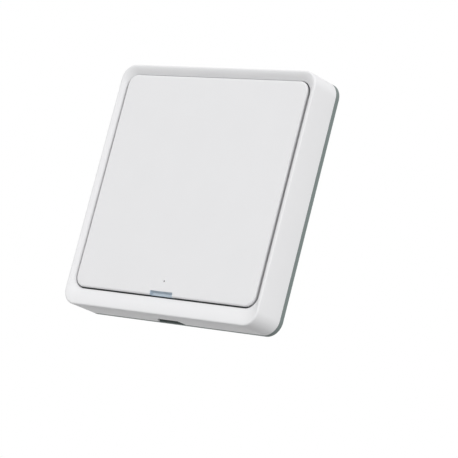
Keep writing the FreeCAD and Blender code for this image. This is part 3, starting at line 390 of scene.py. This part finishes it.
for node, thing in frame["nodes"].items():
    for number in range(len(thing.data.materials)):
        thing.data.materials[number] = finishes[slotOf[node]]
print("finishes given to", len(frame["nodes"]), "solids")


# Front: skirt, rim, dished border, cored ledge, clips, hook pockets and the notch

front = {
    "columns": (30, 3.0, 14),  # reach and step on a side, turns in a corner
    "corner": 5.0,
    "rimRound": 0.5,
    "rimLand": 0.6,
    "drop": 1.3,  # how far the border falls to the opening
    "dish": 0.67,  # share of the fall that grows with the square of the way in
    "borderSide": 2.2,
    "borderTop": 3.0,
    "borderFoot": 5.57,
    "openCorner": 4.4,
    "openEdge": 0.1,  # rounding where the border meets the opening
    "band": 3.1,  # crest to ledge
    "skirt": 1.8,
    "rearEdge": 0.05,
    "notch": (-4.3, 4.2),
    "flare": 2.7,
    "notchDeep": 4.4,
    "core": 21.0,
    "corePitch": 23.0,
    "coreDeep": 1.2,
    "flange": 1.0,
    "clipAt": 18.0,
    "clipLong": 8.0,
    "clipReach": 0.6,
    "clipRun": 1.4,
    "hookAt": 20.0,
    "hookLong": 7.6,
    "hookDeep": 0.8,
    "hookSpan": (0.4, 2.4),  # above the rear edge
}


def spansAt(side, middles, long):  # stretches of one length along a side
    return [(side, m - long / 2, m + long / 2) for m in middles]


# Ring of sections round the outline. A section runs up the outside, over the rim by a quarter
# circle, down the border and the opening, out along the ledge and down the inside of the skirt.
# The border falls by a share of the drop that is even and one with the square of the way in.
# Notch, coring, clips and hook pockets are stretches of columns with other heights or shifts.
def makeFront(f):
    pair = (-f["clipAt"], f["clipAt"])
    left, right = f["notch"]
    columns = makeColumns(*f["columns"], {
        "notch": [(0, left, right)],
        "core": spansAt(0, (-f["corePitch"], 0, f["corePitch"]), f["core"]),
        "clip": spansAt(1, pair, f["clipLong"]) + spansAt(3, pair, f["clipLong"]),
        "hook": spansAt(2, (-f["hookAt"], f["hookAt"]), f["hookLong"]),
    }, [(0, left - f["flare"], left)])
    outer = (-half, half, -half, half)
    opening = (-half + f["borderSide"], half - f["borderSide"], -half + f["borderFoot"],
               half - f["borderTop"])
    skirtBox = inset(outer, f["skirt"])
    skirtCorner = f["corner"] - f["skirt"]
    rear = coverRear + np.where(columns["notch"], f["notchDeep"], 0)
    rows = []

    def add(box, corner, height, shift=0.0):
        rows.append((*onOutline(columns, inset(box, shift), corner - shift), height))

    for turn in np.linspace(0, math.pi / 2, 4):
        add(outer, f["corner"], rear + f["rearEdge"] * (1 - math.cos(turn)),
            f["rearEdge"] * (1 - math.sin(turn)))
    for turn in np.linspace(0, math.pi / 2, 9):
        add(outer, f["corner"], crest - f["rimRound"] * (1 - math.sin(turn)),
            f["rimRound"] * (1 - math.cos(turn)))
    startX, startZ = onOutline(columns, inset(outer, f["rimLand"]), f["corner"] - f["rimLand"])
    endX, endZ = onOutline(columns, opening, f["openCorner"])
    for t in np.linspace(0, 1, 13)[:-1]:
        fall = f["drop"] * ((1 - f["dish"]) * t + f["dish"] * t ** 2)
        rows.append((startX + (endX - startX) * t, startZ + (endZ - startZ) * t, crest - fall))
    edge = f["openEdge"]
    for turn in np.linspace(0.25, 1, 6) * math.pi / 2:  # from the border's slope on
        add(opening, f["openCorner"], crest - f["drop"] - edge * (1 - math.cos(turn)),
            -edge * (1 - math.sin(turn)))
    ledge = crest - f["band"]
    add(opening, f["openCorner"], ledge)
    between = [(a + b) / 2 for a, b in zip(opening, skirtBox)]
    between[2] = opening[2] - f["flange"]  # foot
    cored = ledge + np.where(columns["core"], f["coreDeep"], 0)
    add(between, (f["openCorner"] + skirtCorner) / 2, ledge)
    add(between, (f["openCorner"] + skirtCorner) / 2, cored)
    add(skirtBox, skirtCorner, cored)
    inside = onOutline(columns, skirtBox, skirtCorner)
    clipped = onOutline(columns, inset(skirtBox, f["clipReach"]), skirtCorner)
    hooked = onOutline(columns, inset(skirtBox, -f["hookDeep"]), skirtCorner)
    clipRow = [np.where(columns["clip"], c, i) for c, i in zip(clipped, inside)]
    hookRow = [np.where(columns["hook"], h, i) for h, i in zip(hooked, inside)]
    hookLow, hookHigh = (coverRear + h for h in f["hookSpan"])
    for (x, z), height in ((inside, boardFront), (clipRow, boardFront),
                           (inside, boardFront - f["clipRun"]), (inside, hookHigh),
                           (hookRow, hookHigh), (hookRow, hookLow), (inside, hookLow),
                           (inside, coverRear)):
        rows.append((x, z, np.maximum(height, rear)))
    return buildPiece("frontSurround", [gridPatch(rows)], "front",
                      finishes["white_plastic"])


frontSurround = makeFront(front)
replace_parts(frontSurround, "front_frame")
print("front made:", len(frontSurround.data.polygons), "faces")


# Key: shell with a window notch and a pinhole, ribs, bearings and a post for each switch, and
# the window's insert

key = {
    "columns": (30, 2.0, 14),  # reach and step on a side, turns in a corner
    "corner": 3.55,
    "edge": 0.55,
    "shell": 1.8,
    "lip": 0.8,  # thickness of the key's edge, behind which its wall is set back
    "setBack": 0.45,
    "wall": 1.3,
    "windowWide": 9.3,
    "windowTall": 1.45,
    "faceIn": 1.0,  # window's top to the outline inside which the face is one flat ring
    "pinhole": 0.3,  # radius
    "pinholeUp": 4.67,
    "pinholeEdge": 0.08,
    "ribAt": 12.0,
    "ribThick": 0.8,
    "ribRise": 0.8,
    "ribSpan": (4.0, 31.0),
    "ribCorner": 0.15,
    "ribEdge": 0.1,
    "bossAt": 25.0,
    "bossWide": 5.0,
    "bore": 1.04,
    "bossRadius": 1.94,
    "lever": 16.0,
    "post": 1.2,
    "postTip": 9.25,
    "postEdge": 0.06,
    "root": 0.4,  # how far ribs, bearings and posts reach into the shell
}


# Ring of sections: out from the pinhole over the face, round the edge by a quarter circle, down
# the lip, in by the set-back, down the wall, up the inside and back to the pinhole along the
# inner face. In the window's notch the section ends at the notch's top.
def makeKey(k):
    halfNotch = k["windowWide"] / 2
    columns = makeColumns(*k["columns"], {"notch": [(0, -halfNotch, halfNotch)]})
    notch = columns["notch"]
    outer = (keyLow[0], keyHigh[0], keyLow[2], keyHigh[2])
    inner = keyFace - k["shell"]
    notchTop = outer[2] + k["windowTall"]
    hole = outer[2] + k["pinholeUp"]
    rows = []

    def add(box, corner, height, notchHeight):
        x, z = onOutline(columns, box, corner)
        rows.append((x, np.where(notch, notchTop, z), np.where(notch, notchHeight, height)))

    nearX, nearZ = onOutline(columns, inset(outer, k["windowTall"] + k["faceIn"]), k["corner"])
    angle = np.arctan2(nearZ - hole, nearX)
    radius, mouth = k["pinhole"], k["pinholeEdge"]
    for r, height in ((radius, inner), (radius, keyFace - mouth), (radius + mouth, keyFace)):
        rows.append((r * np.cos(angle), hole + r * np.sin(angle), height))
    rows.append((nearX, nearZ, keyFace))
    for turn in np.linspace(math.pi / 2, 0, 13):
        shift = k["edge"] * (1 - math.cos(turn))
        add(inset(outer, shift), k["corner"] - shift, keyFace - k["edge"] * (1 - math.sin(turn)),
            keyFace)
    back = inset(outer, k["setBack"])
    hollow = inset(outer, k["wall"])
    hollowCorner = k["corner"] - k["wall"]
    add(outer, k["corner"], keyFace - k["lip"], inner)
    add(back, k["corner"] - k["setBack"], keyFace - k["lip"], inner)
    add(back, k["corner"] - k["setBack"], keyRear, inner)
    add(hollow, hollowCorner, keyRear, inner)
    add(hollow, hollowCorner, inner, inner)
    rows.append((nearX, nearZ, inner))
    return [gridPatch(rows)]


# Bearing: a ring of sections along the bore and back over the outline. Each point of the bore is
# at the same turn as one of the outline, which is a half circle behind the pin's axis and a
# rectangle, up into the shell, in front of it.
def keyBearing(k, low, high):
    turn = np.linspace(0, 2 * math.pi, 48, endpoint=False)
    z, h = np.cos(turn), np.sin(turn)
    root = keyFace - k["shell"] + k["root"] - pinAxis
    least = 0.1  # kept from nought where the other limit holds
    square = np.minimum(k["bossRadius"] / np.maximum(abs(z), least), root / np.maximum(h, least))
    reach = np.where(h > 0, square, k["bossRadius"])
    return gridPatch([(end, pinUp + r * z, pinAxis + r * h) for end, r in
                      ((low, k["bore"]), (high, k["bore"]), (high, reach), (low, reach))])


# Two bearings, four ribs as blocks along Z, and two posts turned about an axis along Y, all
# with their roots in the shell
def keyFittings(k):
    inner = keyFace - k["shell"]
    root = inner + k["root"]
    patches = []
    near, far = k["ribSpan"]
    for side in (-1, 1):
        patches.append(keyBearing(k, side * k["bossAt"] - k["bossWide"] / 2,
                                  side * k["bossAt"] + k["bossWide"] / 2))
        for end in (-1, 1):
            patches.append(block(side * k["ribAt"], pinUp + end * (near + far) / 2, k["ribThick"],
                                 far - near, root, inner - k["ribRise"], k["ribCorner"],
                                 k["ribEdge"]))
    tip = [(k["post"], k["postTip"] + k["postEdge"]), (k["post"] - k["postEdge"], k["postTip"]),
           (0, k["postTip"])]
    for end in (-1, 1):
        patches.append(turned([(0, root), (k["post"], root), *tip], 0, pinUp + end * k["lever"],
                              steps=32))
    return patches


rockerKey = buildPiece("rockerKey", makeKey(key) + keyFittings(key), "key",
                       finishes["white_plastic"])
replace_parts(rockerKey, "rocker_key")


window = {
    "footRound": 0.1,  # rounding of its lower front edge
    "footDeep": 0.7,  # thickness of its foot, behind which it is set back
    "setBack": 0.4,
    "flangeTall": 1.6,
    "flangeThick": 0.32,
    "rimThick": 0.1,  # raised rim that lines the sides and the top of the key's notch
    "rimSlope": 0.55,
    "rimFlat": 0.04,
    "rimBelow": 0.06,
    "rimRoot": 0.2,  # how far the rim's sides reach into the insert
    "rimEnds": (0.02, 0.1),  # from the insert's foot and top to the ends of the rim's sides
    "rimOut": 0.01,
}


# Signal window: side view of the insert and its flange, carried across its width. The rim's
# top slopes up to the face, and its sides end at the foot in the key's quarter circle.
def makeWindow(w):
    low, high = boxMm("indicator_window")
    rear, face, foot, top = -high[1], -low[1], low[2], high[2] - w["flangeTall"]
    rim = keyFace - w["rimBelow"]
    quarter = [(math.sin(turn), 1 - math.cos(turn)) for turn in np.linspace(0, math.pi / 2, 7)]
    outline = [(rear, foot + w["setBack"]), (face - w["footDeep"], foot + w["setBack"]),
               (face - w["footDeep"], foot)]
    outline += [(face - w["footRound"] * (1 - a), foot + w["footRound"] * b) for a, b in quarter]
    outline += [(face, top - w["rimSlope"]), (rim, top - w["rimFlat"]), (rim, top),
                (rear + w["flangeThick"], top), (rear + w["flangeThick"], high[2]),
                (rear, high[2])]
    patches = [prism(outline, low[0], high[0], "x")]
    root = face - w["rimRoot"]
    start, end = foot + w["rimEnds"][0], top - w["rimEnds"][1]
    cheek = [(root, end), (root, start)]
    cheek += [(rim - key["edge"] * (1 - a), start + key["edge"] * b) for a, b in quarter]
    cheek += [(rim, end)]
    for side in (-1, 1):
        ends = sorted((side * (high[0] + w["rimOut"]), side * (high[0] - w["rimThick"])))
        patches.append(prism(cheek, *ends, "x"))
    return buildPiece("signalWindow", patches, "key", finishes["signal_window"])


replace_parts(makeWindow(window), "indicator_window")
print("key made:", len(rockerKey.data.polygons), "faces")


# Solids that keep their form: node, name of the piece and rounding of its edges in mm

softEdges = {
    "wall_plate": ("wallPlate", 0.1),
    "carrier": ("carrierTray", 0.12),
    "pivot_pin": ("pivotPin", 0.04),
    "on_switch_base": ("onSwitchCase", 0.1),
    "off_switch_base": ("offSwitchCase", 0.1),
    "on_switch_cover": ("onSwitchCover", 0.04),
    "off_switch_cover": ("offSwitchCover", 0.04),
    "on_switch_plunger": ("onPlunger", 0.1),
    "off_switch_plunger": ("offPlunger", 0.1),
    "battery_holder": ("batteryRing", 0.15),
    "positive_contact": ("cellStrap", 0.05),
    "negative_contact": ("cellLeaf", 0.03),
    "resonator_can": ("resonatorCan", 0.12),
    "indicator_led": ("signalLamp", 0.12),
    "board_screws": ("boardScrews", 0.12),
    "antenna_wire": ("antennaStrip", 0.08),
    "chip_components": ("chipBodies", 0.06),
}
soft = {
    "same": 1e-6,  # points nearer than this many metres are one
    "level": 0.5,  # degrees between faces that become one
    "corner": 40,  # degrees from which an edge is rounded
    "sharp": 21,  # degrees from which an edge is shaded sharp
    "flatFrom": 4.0,  # square mm from which a face is shaded flat
}
bodyOf = {node: body for body, nodes in frame["record"]["behaviour"]["bodies"].items()
          for node in nodes}


# Copy of a solid with its triangles joined into level faces and its corners rounded
def softCopy(node, name, edge):
    mesh = frame["nodes"][node].data.copy()
    mesh.name = name
    shaped = bmesh.new()
    shaped.from_mesh(mesh)
    bmesh.ops.remove_doubles(shaped, verts=shaped.verts, dist=soft["same"])
    bmesh.ops.dissolve_limit(shaped, angle_limit=math.radians(soft["level"]), verts=shaped.verts,
                             edges=shaped.edges)
    corners = [e for e in shaped.edges
               if e.is_manifold and e.calc_face_angle() > math.radians(soft["corner"])]
    bmesh.ops.bevel(shaped, geom=corners, offset=edge * mm, offset_type="OFFSET", segments=2,
                    profile=0.5, affect="EDGES", clamp_overlap=True)
    shaped.to_mesh(mesh)
    shaped.free()
    piece = finishPiece(name, mesh, bodyOf[node], soft["sharp"])
    area = np.empty(len(mesh.polygons))
    mesh.polygons.foreach_get("area", area)
    mesh.polygons.foreach_set("use_smooth", area < soft["flatFrom"] * mm ** 2)
    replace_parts(piece, node)


for node, (name, edge) in softEdges.items():
    softCopy(node, name, edge)
print("edges softened on", len(softEdges), "solids")


# Coin cell: can with a rolled edge, sealing ring, inner cap and a plus sign on the can

cell = {
    "radius": 10.0,
    "edge": 0.5,
    "crimp": 0.35,
    "step": 0.4,  # how far the crimp lies behind the cap
    "seal": (0.5, 0.4, 0.1, 0.12),  # outer, floor's outer and inner place past the cap, depth
    "cap": 8.6,
    "capEdge": 0.25,
    "capFoot": 0.1,  # from the crimp's height to the foot of the cap's side
    "plusUp": 6.4,
    "plusArm": 1.4,
    "plusHalf": 0.3,
    "plusRise": 0.04,
    "plusRoot": 0.1,
}


# Profile turned about the cell's axis: from the can's back round its edge by a quarter circle,
# up the side, round the crimp by another, through the seal's groove and over the cap's edge.
# The plus sign is one arm's outline, repeated by quarter turns and raised from the can's back.
def makeCell(c):
    low, high = boxMm("coin_cell")
    x, z = middleOf("coin_cell")
    rear, top = -high[1], -low[1]
    points = [(0, rear)]
    for turn in np.linspace(0, math.pi / 2, 7):
        points.append((c["radius"] - c["edge"] * (1 - math.sin(turn)),
                       rear + c["edge"] * (1 - math.cos(turn))))
    crimp = top - c["step"]
    for turn in np.linspace(0, math.pi / 2, 5):
        points.append((c["radius"] - c["crimp"] * (1 - math.cos(turn)),
                       crimp - c["crimp"] * (1 - math.sin(turn))))
    start, outer, inner, deep = c["seal"]
    points += [(c["cap"] + start, crimp), (c["cap"] + outer, crimp - deep),
               (c["cap"] + inner, crimp - deep), (c["cap"], crimp + c["capFoot"])]
    for turn in np.linspace(0, math.pi / 2, 4):
        points.append((c["cap"] - c["capEdge"] * (1 - math.cos(turn)),
                       top - c["capEdge"] * (1 - math.sin(turn))))
    points.append((0, top))
    a, b = c["plusArm"], c["plusHalf"]
    arm, plus = [(a, -b), (a, b), (b, b)], []
    for quarter in range(4):
        plus += arm
        arm = [(-v, u) for u, v in arm]
    plus = np.array(plus) + (x, z + c["plusUp"])
    patches = [turned(points, x, z, steps=96),
               prism(plus, rear + c["plusRoot"], rear - c["plusRise"], "h")]
    return buildPiece("coinCell", patches, "front", finishes["cell_steel"])


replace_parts(makeCell(cell), "coin_cell")
print("cell made")


# Parts soldered to the board, with the legs, metal ends and solder that the solids leave out

# Domes: for every place a grid of turns and rings, flat at the base and closed at the top, where
# a ring's radius goes with the cosine of its lean and its height with the sine
def domes(places, radius, base, rise, turns=12, rings=4):
    places = np.asarray(places, float)
    angle = np.linspace(0, 2 * math.pi, turns, endpoint=False)
    lean = np.linspace(0, math.pi / 2, rings)[:, None]
    x = places[:, 0, None, None] + radius * np.cos(lean) * np.cos(angle)
    z = places[:, 1, None, None] + radius * np.cos(lean) * np.sin(angle)
    h = np.broadcast_to(base + rise * np.sin(lean) + 0 * angle, x.shape)
    points = np.stack([x, -h, z], axis=-1).reshape(-1, 3)
    faces = gridFaces(rings, turns, closeRows=False)
    shifts = np.arange(len(places))[:, None, None] * rings * turns
    return points, (faces + shifts).reshape(-1, 4)


chip = {
    "case": (3.9, 8.7, 0.25, 0.12),  # across, along, corner, edge
    "lift": 0.14,
    "rise": 1.4,
    "draft": 0.1,
    "span": 5.85,  # between the ends of the legs
    "pitch": 1.27,
    "legs": 7,  # on each side
    "leg": 0.42,
    "sheet": 0.2,
}
transistor = {
    "case": (2.9, 1.3, 0.2, 0.1),  # as the chip's
    "lift": 0.1,
    "rise": 0.95,
    "draft": 0.06,
    "span": 3.12,
    "leg": 0.45,
    "sheet": 0.12,
}


# Case: a block behind the board, its underside lifted off it
def makeCase(name, node, p):
    x, z = middleOf(node)
    wide, tall, corner, edge = p["case"]
    case = block(x, z, wide, tall, boardRear - p["lift"], boardRear - p["rise"], corner, edge,
                 p["draft"])
    return buildPiece(name, [case], "front", finishes["chip_black"])


bend = {
    "root": 0.2,  # leg's start inside the case
    "knee": 0.45,  # share of the leg's reach at which it turns down
    "cut": 0.05,  # bevel inside the knee
    "lean": 0.08,  # how far the part that goes down leans outwards
    "heel": 0.1,  # how far the foot's underside starts inside that part
}


# Side view of a bent leg that stands out to one side of a case: out from half the case's rise,
# down at the knee and out along the board, as a closed outline of distance and height
def legOutline(start, p, sign):
    end, sheet = p["span"] / 2, p["sheet"]
    root = start - bend["root"]
    knee = start + (end - start) * bend["knee"]
    down = knee + sheet
    top = boardRear - p["rise"] / 2
    shape = [(root, top - sheet / 2), (knee, top - sheet / 2), (down, top),
             (down + bend["lean"], boardRear - sheet), (end, boardRear - sheet), (end, boardRear),
             (down - bend["heel"], boardRear), (knee, boardRear - sheet / 2),
             (knee - bend["cut"], top + sheet / 2), (root, top + sheet / 2)]
    return np.array([(sign * a, h) for a, h in shape])


# Legs of the chip: the side view carried along Z by a leg's width, at every pitch on the left and
# the right. Gives the places of their feet too.
def chipLegs(p):
    x, middle = middleOf("encoder_chip")
    rows = middle + p["pitch"] * (np.arange(p["legs"]) - p["legs"] // 2)
    legs, feet = [], []
    for sign in (-1, 1):
        outline = legOutline(p["case"][0] / 2, p, sign) + (x, 0)
        for z in rows:
            legs.append(prism(outline, z - p["leg"] / 2, z + p["leg"] / 2, "z"))
            feet.append((x + sign * p["span"] / 2, z))
    return legs, feet


# Legs of the transistor: the side view turned upright and carried along X by a leg's width, two
# below the case and one above. Gives the places of their feet too.
def transistorLegs(p):
    middle, z = middleOf("rf_transistor")
    wide, tall = p["case"][:2]
    legs, feet = [], []
    for sign, shift in ((-1, -wide / 3), (-1, wide / 3), (1, 0)):
        outline = legOutline(tall / 2, p, sign)[:, ::-1] + (0, z)
        x = middle + shift
        legs.append(prism(outline, x - p["leg"] / 2, x + p["leg"] / 2, "x"))
        feet.append((x, z + sign * p["span"] / 2))
    return legs, feet


switchLeg = {
    "middle": 3.825,  # from the switch's middle to the leg's
    "size": (1.69, 0.72),
    "rise": 0.21,
    "corner": 0.05,
    "edge": 0.03,
    "row": 1.5,
    "solderAt": 4.2,
}


# Flat legs of both push switches: a block at both ends of two rows. Gives the places of their
# solder too.
def switchLegs(p):
    legs, feet = [], []
    for switch in ("on_switch_base", "off_switch_base"):
        x, middle = middleOf(switch)
        for sign in (-1, 1):
            for row in (-1, 1):
                z = middle + row * p["row"]
                legs.append(block(x + sign * p["middle"], z, *p["size"], boardFront,
                                  boardFront + p["rise"], p["corner"], p["edge"]))
                feet.append((x + sign * p["solderAt"], z))
    return legs, feet


chipPart = {
    "size": (1.25, 2.0, 0.5),  # across, along, rise
    "end": 0.4,  # length of its metal end
    "proud": 0.02,
    "corner": 0.08,
    "edge": 0.05,
}
chipPlaces = np.array([(-15, -14), (-15, -18), (-3, -11), (-3, -15), (-3, -19), (13, -22.5),
                       (13, -26), (3.2, -22.5), (-13, 19.5), (-9.5, 19.5)])


# Metal ends: a block over each end of the chip resistors and capacitors
def makeChipEnds(p):
    across, along, rise = p["size"]
    out, proud = (along - p["end"]) / 2 + p["proud"], p["proud"]
    ends = [block(x, z + sign * out, across + 2 * proud, p["end"], boardRear,
                  boardRear - rise - proud, p["corner"], p["edge"])
            for x, z in chipPlaces for sign in (-1, 1)]
    buildPiece("chipEnds", ends, "front", finishes["can_steel"])


solder = {  # radius and rise of each kind of joint
    "chip": (0.34, 0.14),
    "transistor": (0.36, 0.14),
    "chipPart": (0.62, 0.224),
    "switch": (0.45, 0.14),
    "strap": (0.8, 0.3),
    "strapIn": 0.6,  # strap's end to its joints
    "strapHalf": 1.3,
}


# Solder: a dome at every foot, and four where the strap is joined
def makeSolder(chipFeet, transistorFeet, switchFeet):
    out = chipPart["size"][1] / 2
    ends = [(x, z + sign * out) for x, z in chipPlaces for sign in (-1, 1)]
    low, high = boxMm("positive_contact")
    middle = (low[2] + high[2]) / 2
    strap = [(x, middle + z) for x in (low[0] + solder["strapIn"], high[0] - solder["strapIn"])
             for z in (-solder["strapHalf"], solder["strapHalf"])]
    joints = []
    for kind, feet, base, way in (("chip", chipFeet, boardRear, -1),
                                  ("transistor", transistorFeet, boardRear, -1),
                                  ("chipPart", ends, boardRear, -1),
                                  ("switch", switchFeet, boardFront, 1)):
        radius, rise = solder[kind]
        joints.append(domes(feet, radius, base, way * rise))
    radius, rise = solder["strap"]
    joints.append(domes(strap, radius, boardRear, -rise, turns=20, rings=5))
    buildPiece("solderJoints", joints, "front", finishes["can_steel"], sharp=60)


rivet = {"at": 2.35, "radius": 0.4, "rise": 0.12}


# Rivets: a dome near each corner of both switch covers
def makeRivets(r):
    patches = []
    for switch in ("on_switch_cover", "off_switch_cover"):
        low, high = boxMm(switch)
        x, z = middleOf(switch)
        spots = [(x + a * r["at"], z + b * r["at"]) for a in (-1, 1) for b in (-1, 1)]
        patches.append(domes(spots, r["radius"], -low[1], r["rise"], turns=16))
    buildPiece("coverRivets", patches, "front", finishes["switch_black"], sharp=60)


traces = {
    "wide": 0.35,
    "rise": 0.03,
    "root": 0.02,
    "lines": [
        [(-5.6, -11.19), (-4.6, -11.19), (-3.6, -10.2)],
        [(-5.6, -12.46), (-4.4, -12.46), (-3.6, -12.0)],
        [(-5.6, -13.73), (-4.2, -13.73), (-3.4, -14.1)],
        [(-5.6, -16.27), (-4.2, -16.27), (-3.4, -15.9)],
        [(-5.6, -17.54), (-4.2, -17.54), (-3.4, -18.1)],
        [(-5.6, -18.81), (-4.6, -18.81), (-3.6, -19.8)],
        [(-11.6, -11.19), (-13.2, -11.19), (-14.6, -13.0)],
        [(-11.6, -15.0), (-13.6, -15.0), (-14.7, -15.2)],
        [(-11.6, -16.27), (-13.4, -16.27), (-14.7, -17.1)],
        [(-11.6, -18.81), (-13.0, -18.81), (-14.6, -19.0)],
        [(-2.6, -15.9), (-1.0, -17.0), (1.8, -17.0), (3.2, -19.0), (3.2, -21.5)],
        [(3.2, -23.4), (3.2, -25.0), (7.5, -25.1)],
        [(9.8, -25.1), (11.2, -25.1), (12.5, -25.1)],
        [(8.6, -22.9), (8.6, -21.5), (12.6, -21.5)],
        [(13.0, -26.9), (13.0, -29.0), (-14.6, -29.0), (-17.2, -28.4)],
        [(-2.6, -10.2), (1.0, -7.4), (9.0, -7.4), (12.4, -3.0), (12.4, 3.2)],
        [(-13.0, 20.4), (-13.0, 22.0), (8.0, 22.0), (14.0, 16.0), (14.0, 9.2)],
        [(-9.5, 18.6), (-8.6, 17.6), (-12.0, 14.4), (-12.9, 9.0)],
        [(-2.4, -19.8), (0.0, -21.6), (0.0, -26.6), (-8.0, -26.6), (-12.0, -22.6), (-15.0, -19.0)],
    ],
}


# Traces: a flat strip along each line
def makeTraces(t):
    lines = [strip(line, t["wide"], boardRear + t["root"], boardRear - t["rise"])
             for line in t["lines"]]
    buildPiece("boardTraces", lines, "front",
               solderMask("traceGreen", (0.035, 0.2, 0.075)))


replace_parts(makeCase("chipCase", "encoder_chip", chip), "encoder_chip")
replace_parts(makeCase("transistorCase", "rf_transistor", transistor), "rf_transistor")
legs, feet = zip(chipLegs(chip), transistorLegs(transistor), switchLegs(switchLeg))
buildPiece("partLegs", sum(legs, []), "front", finishes["contact_nickel"])
makeChipEnds(chipPart)
makeSolder(*feet)
makeRivets(rivet)
makeTraces(traces)
print("board's parts made")


# Floor, light and camera

stage = {
    "floorAt": -0.9,  # height in metres
    "floorHalf": 12.0,  # half its side, in metres
    "floorSeen": 0.95,  # the floor's shade for the camera, gloss and glass
    "floorGlow": 0.25,  # what lifts it to the background's white there
    "floorLit": 0.29,  # its shade as the object is lit from it
    "floorRough": 0.9,
    "worldLevel": 0.72,
}
lamps = {  # place in metres, side in metres, watts
    "softboxLeft": ((-3.5, -6.8, 2.4), 6.4, 184),
    "softboxRight": ((7.1, -3.3, 1.6), 6.4, 343),
}
camera = {
    "place": (0.4764, -0.52541, -0.13432),  # metres
    "right": (0.75341, 0.61032, 0.24472),
    "down": (0.07221, 0.29312, -0.95334),
    "ahead": (-0.65357, 0.73593, 0.17677),
    "focal": 2316.655,  # in pixels of the frame
    "pixels": 458,
    "sensor": 36.0,
    "clip": (0.05, 20.0),
}


# 1 for the rays that look out at the background: the camera's, and those by gloss and glass
def seenRays(tree):
    path = tree.nodes.new("ShaderNodeLightPath")
    seen = path.outputs["Is Camera Ray"]
    for ray in ("Is Glossy Ray", "Is Transmission Ray"):
        either = tree.nodes.new("ShaderNodeMath")
        either.operation = "MAXIMUM"
        tree.links.new(seen, either.inputs[0])
        tree.links.new(path.outputs[ray], either.inputs[1])
        seen = either.outputs["Value"]
    return seen


# Flat square floor well below the switch
def makeFloor(s):
    a, z = s["floorHalf"], s["floorAt"]
    mesh = bpy.data.meshes.new("floor")
    mesh.from_pydata([(-a, -a, z), (a, -a, z), (a, a, z), (-a, a, z)], [], [(0, 1, 2, 3)])
    floor = bpy.data.objects.new("floor", mesh)
    bpy.context.scene.collection.objects.link(floor)
    material, tree, shader, _ = newMaterial("floorPaper")
    seen = seenRays(tree)
    mix = tree.nodes.new("ShaderNodeMix")
    mix.data_type = "RGBA"
    tree.links.new(seen, mix.inputs["Factor"])
    mix.inputs["A"].default_value = (*[s["floorLit"]] * 3, 1)
    mix.inputs["B"].default_value = (*[s["floorSeen"]] * 3, 1)
    tree.links.new(mix.outputs["Result"], shader.inputs["Base Color"])
    shader.inputs["Roughness"].default_value = s["floorRough"]
    glow = tree.nodes.new("ShaderNodeMath")
    glow.operation = "MULTIPLY"
    tree.links.new(seen, glow.inputs[0])
    glow.inputs[1].default_value = s["floorGlow"]
    shader.inputs["Emission Color"].default_value = (1, 1, 1, 1)
    tree.links.new(glow.outputs["Value"], shader.inputs["Emission Strength"])
    mesh.materials.append(material)


# Even light on the object, and plain white where the camera, gloss and glass look out
def makeWorld(s):
    world = bpy.data.worlds.new("room")
    bpy.context.scene.world = world
    world.use_nodes = True
    tree = world.node_tree
    tree.nodes.clear()
    mix = tree.nodes.new("ShaderNodeMixShader")
    tree.links.new(seenRays(tree), mix.inputs["Fac"])
    for number, strength in ((1, s["worldLevel"]), (2, 1.0)):
        light = tree.nodes.new("ShaderNodeBackground")
        light.inputs["Color"].default_value = (1, 1, 1, 1)
        light.inputs["Strength"].default_value = strength
        tree.links.new(light.outputs["Background"], mix.inputs[number])
    out = tree.nodes.new("ShaderNodeOutputWorld")
    tree.links.new(mix.outputs["Shader"], out.inputs["Surface"])


def placed(axes, spot):  # matrix from three axes and a place
    return Matrix([(*row, p) for row, p in zip(np.array(axes).T, spot)] + [(0, 0, 0, 1)])


# Square softbox that faces the switch
def addLamp(name, spot, size, watts):
    data = bpy.data.lights.new(name, "AREA")
    data.size = size
    data.energy = watts
    lamp = bpy.data.objects.new(name, data)
    bpy.context.scene.collection.objects.link(lamp)
    back = np.array(spot) / np.linalg.norm(spot)
    sideways = np.cross((0, 0, 1), back)
    sideways /= np.linalg.norm(sideways)
    lamp.matrix_world = placed([sideways, np.cross(back, sideways), back], spot)


# Camera from its place and axes, and its lens from the focal length in pixels
def makeCamera(c):
    data = bpy.data.cameras.new("camera")
    data.sensor_fit = "HORIZONTAL"
    data.sensor_width = c["sensor"]
    data.lens = c["focal"] / c["pixels"] * data.sensor_width
    data.clip_start, data.clip_end = c["clip"]
    thing = bpy.data.objects.new("camera", data)
    bpy.context.scene.collection.objects.link(thing)
    thing.matrix_world = placed([c["right"], np.negative(c["down"]), np.negative(c["ahead"])],
                                c["place"])
    bpy.context.scene.camera = thing


makeFloor(stage)
makeWorld(stage)
for name, (spot, size, watts) in lamps.items():
    addLamp(name, spot, size, watts)
makeCamera(camera)
bpy.context.scene.view_settings.view_transform = "Standard"
print("stage, light and camera set")
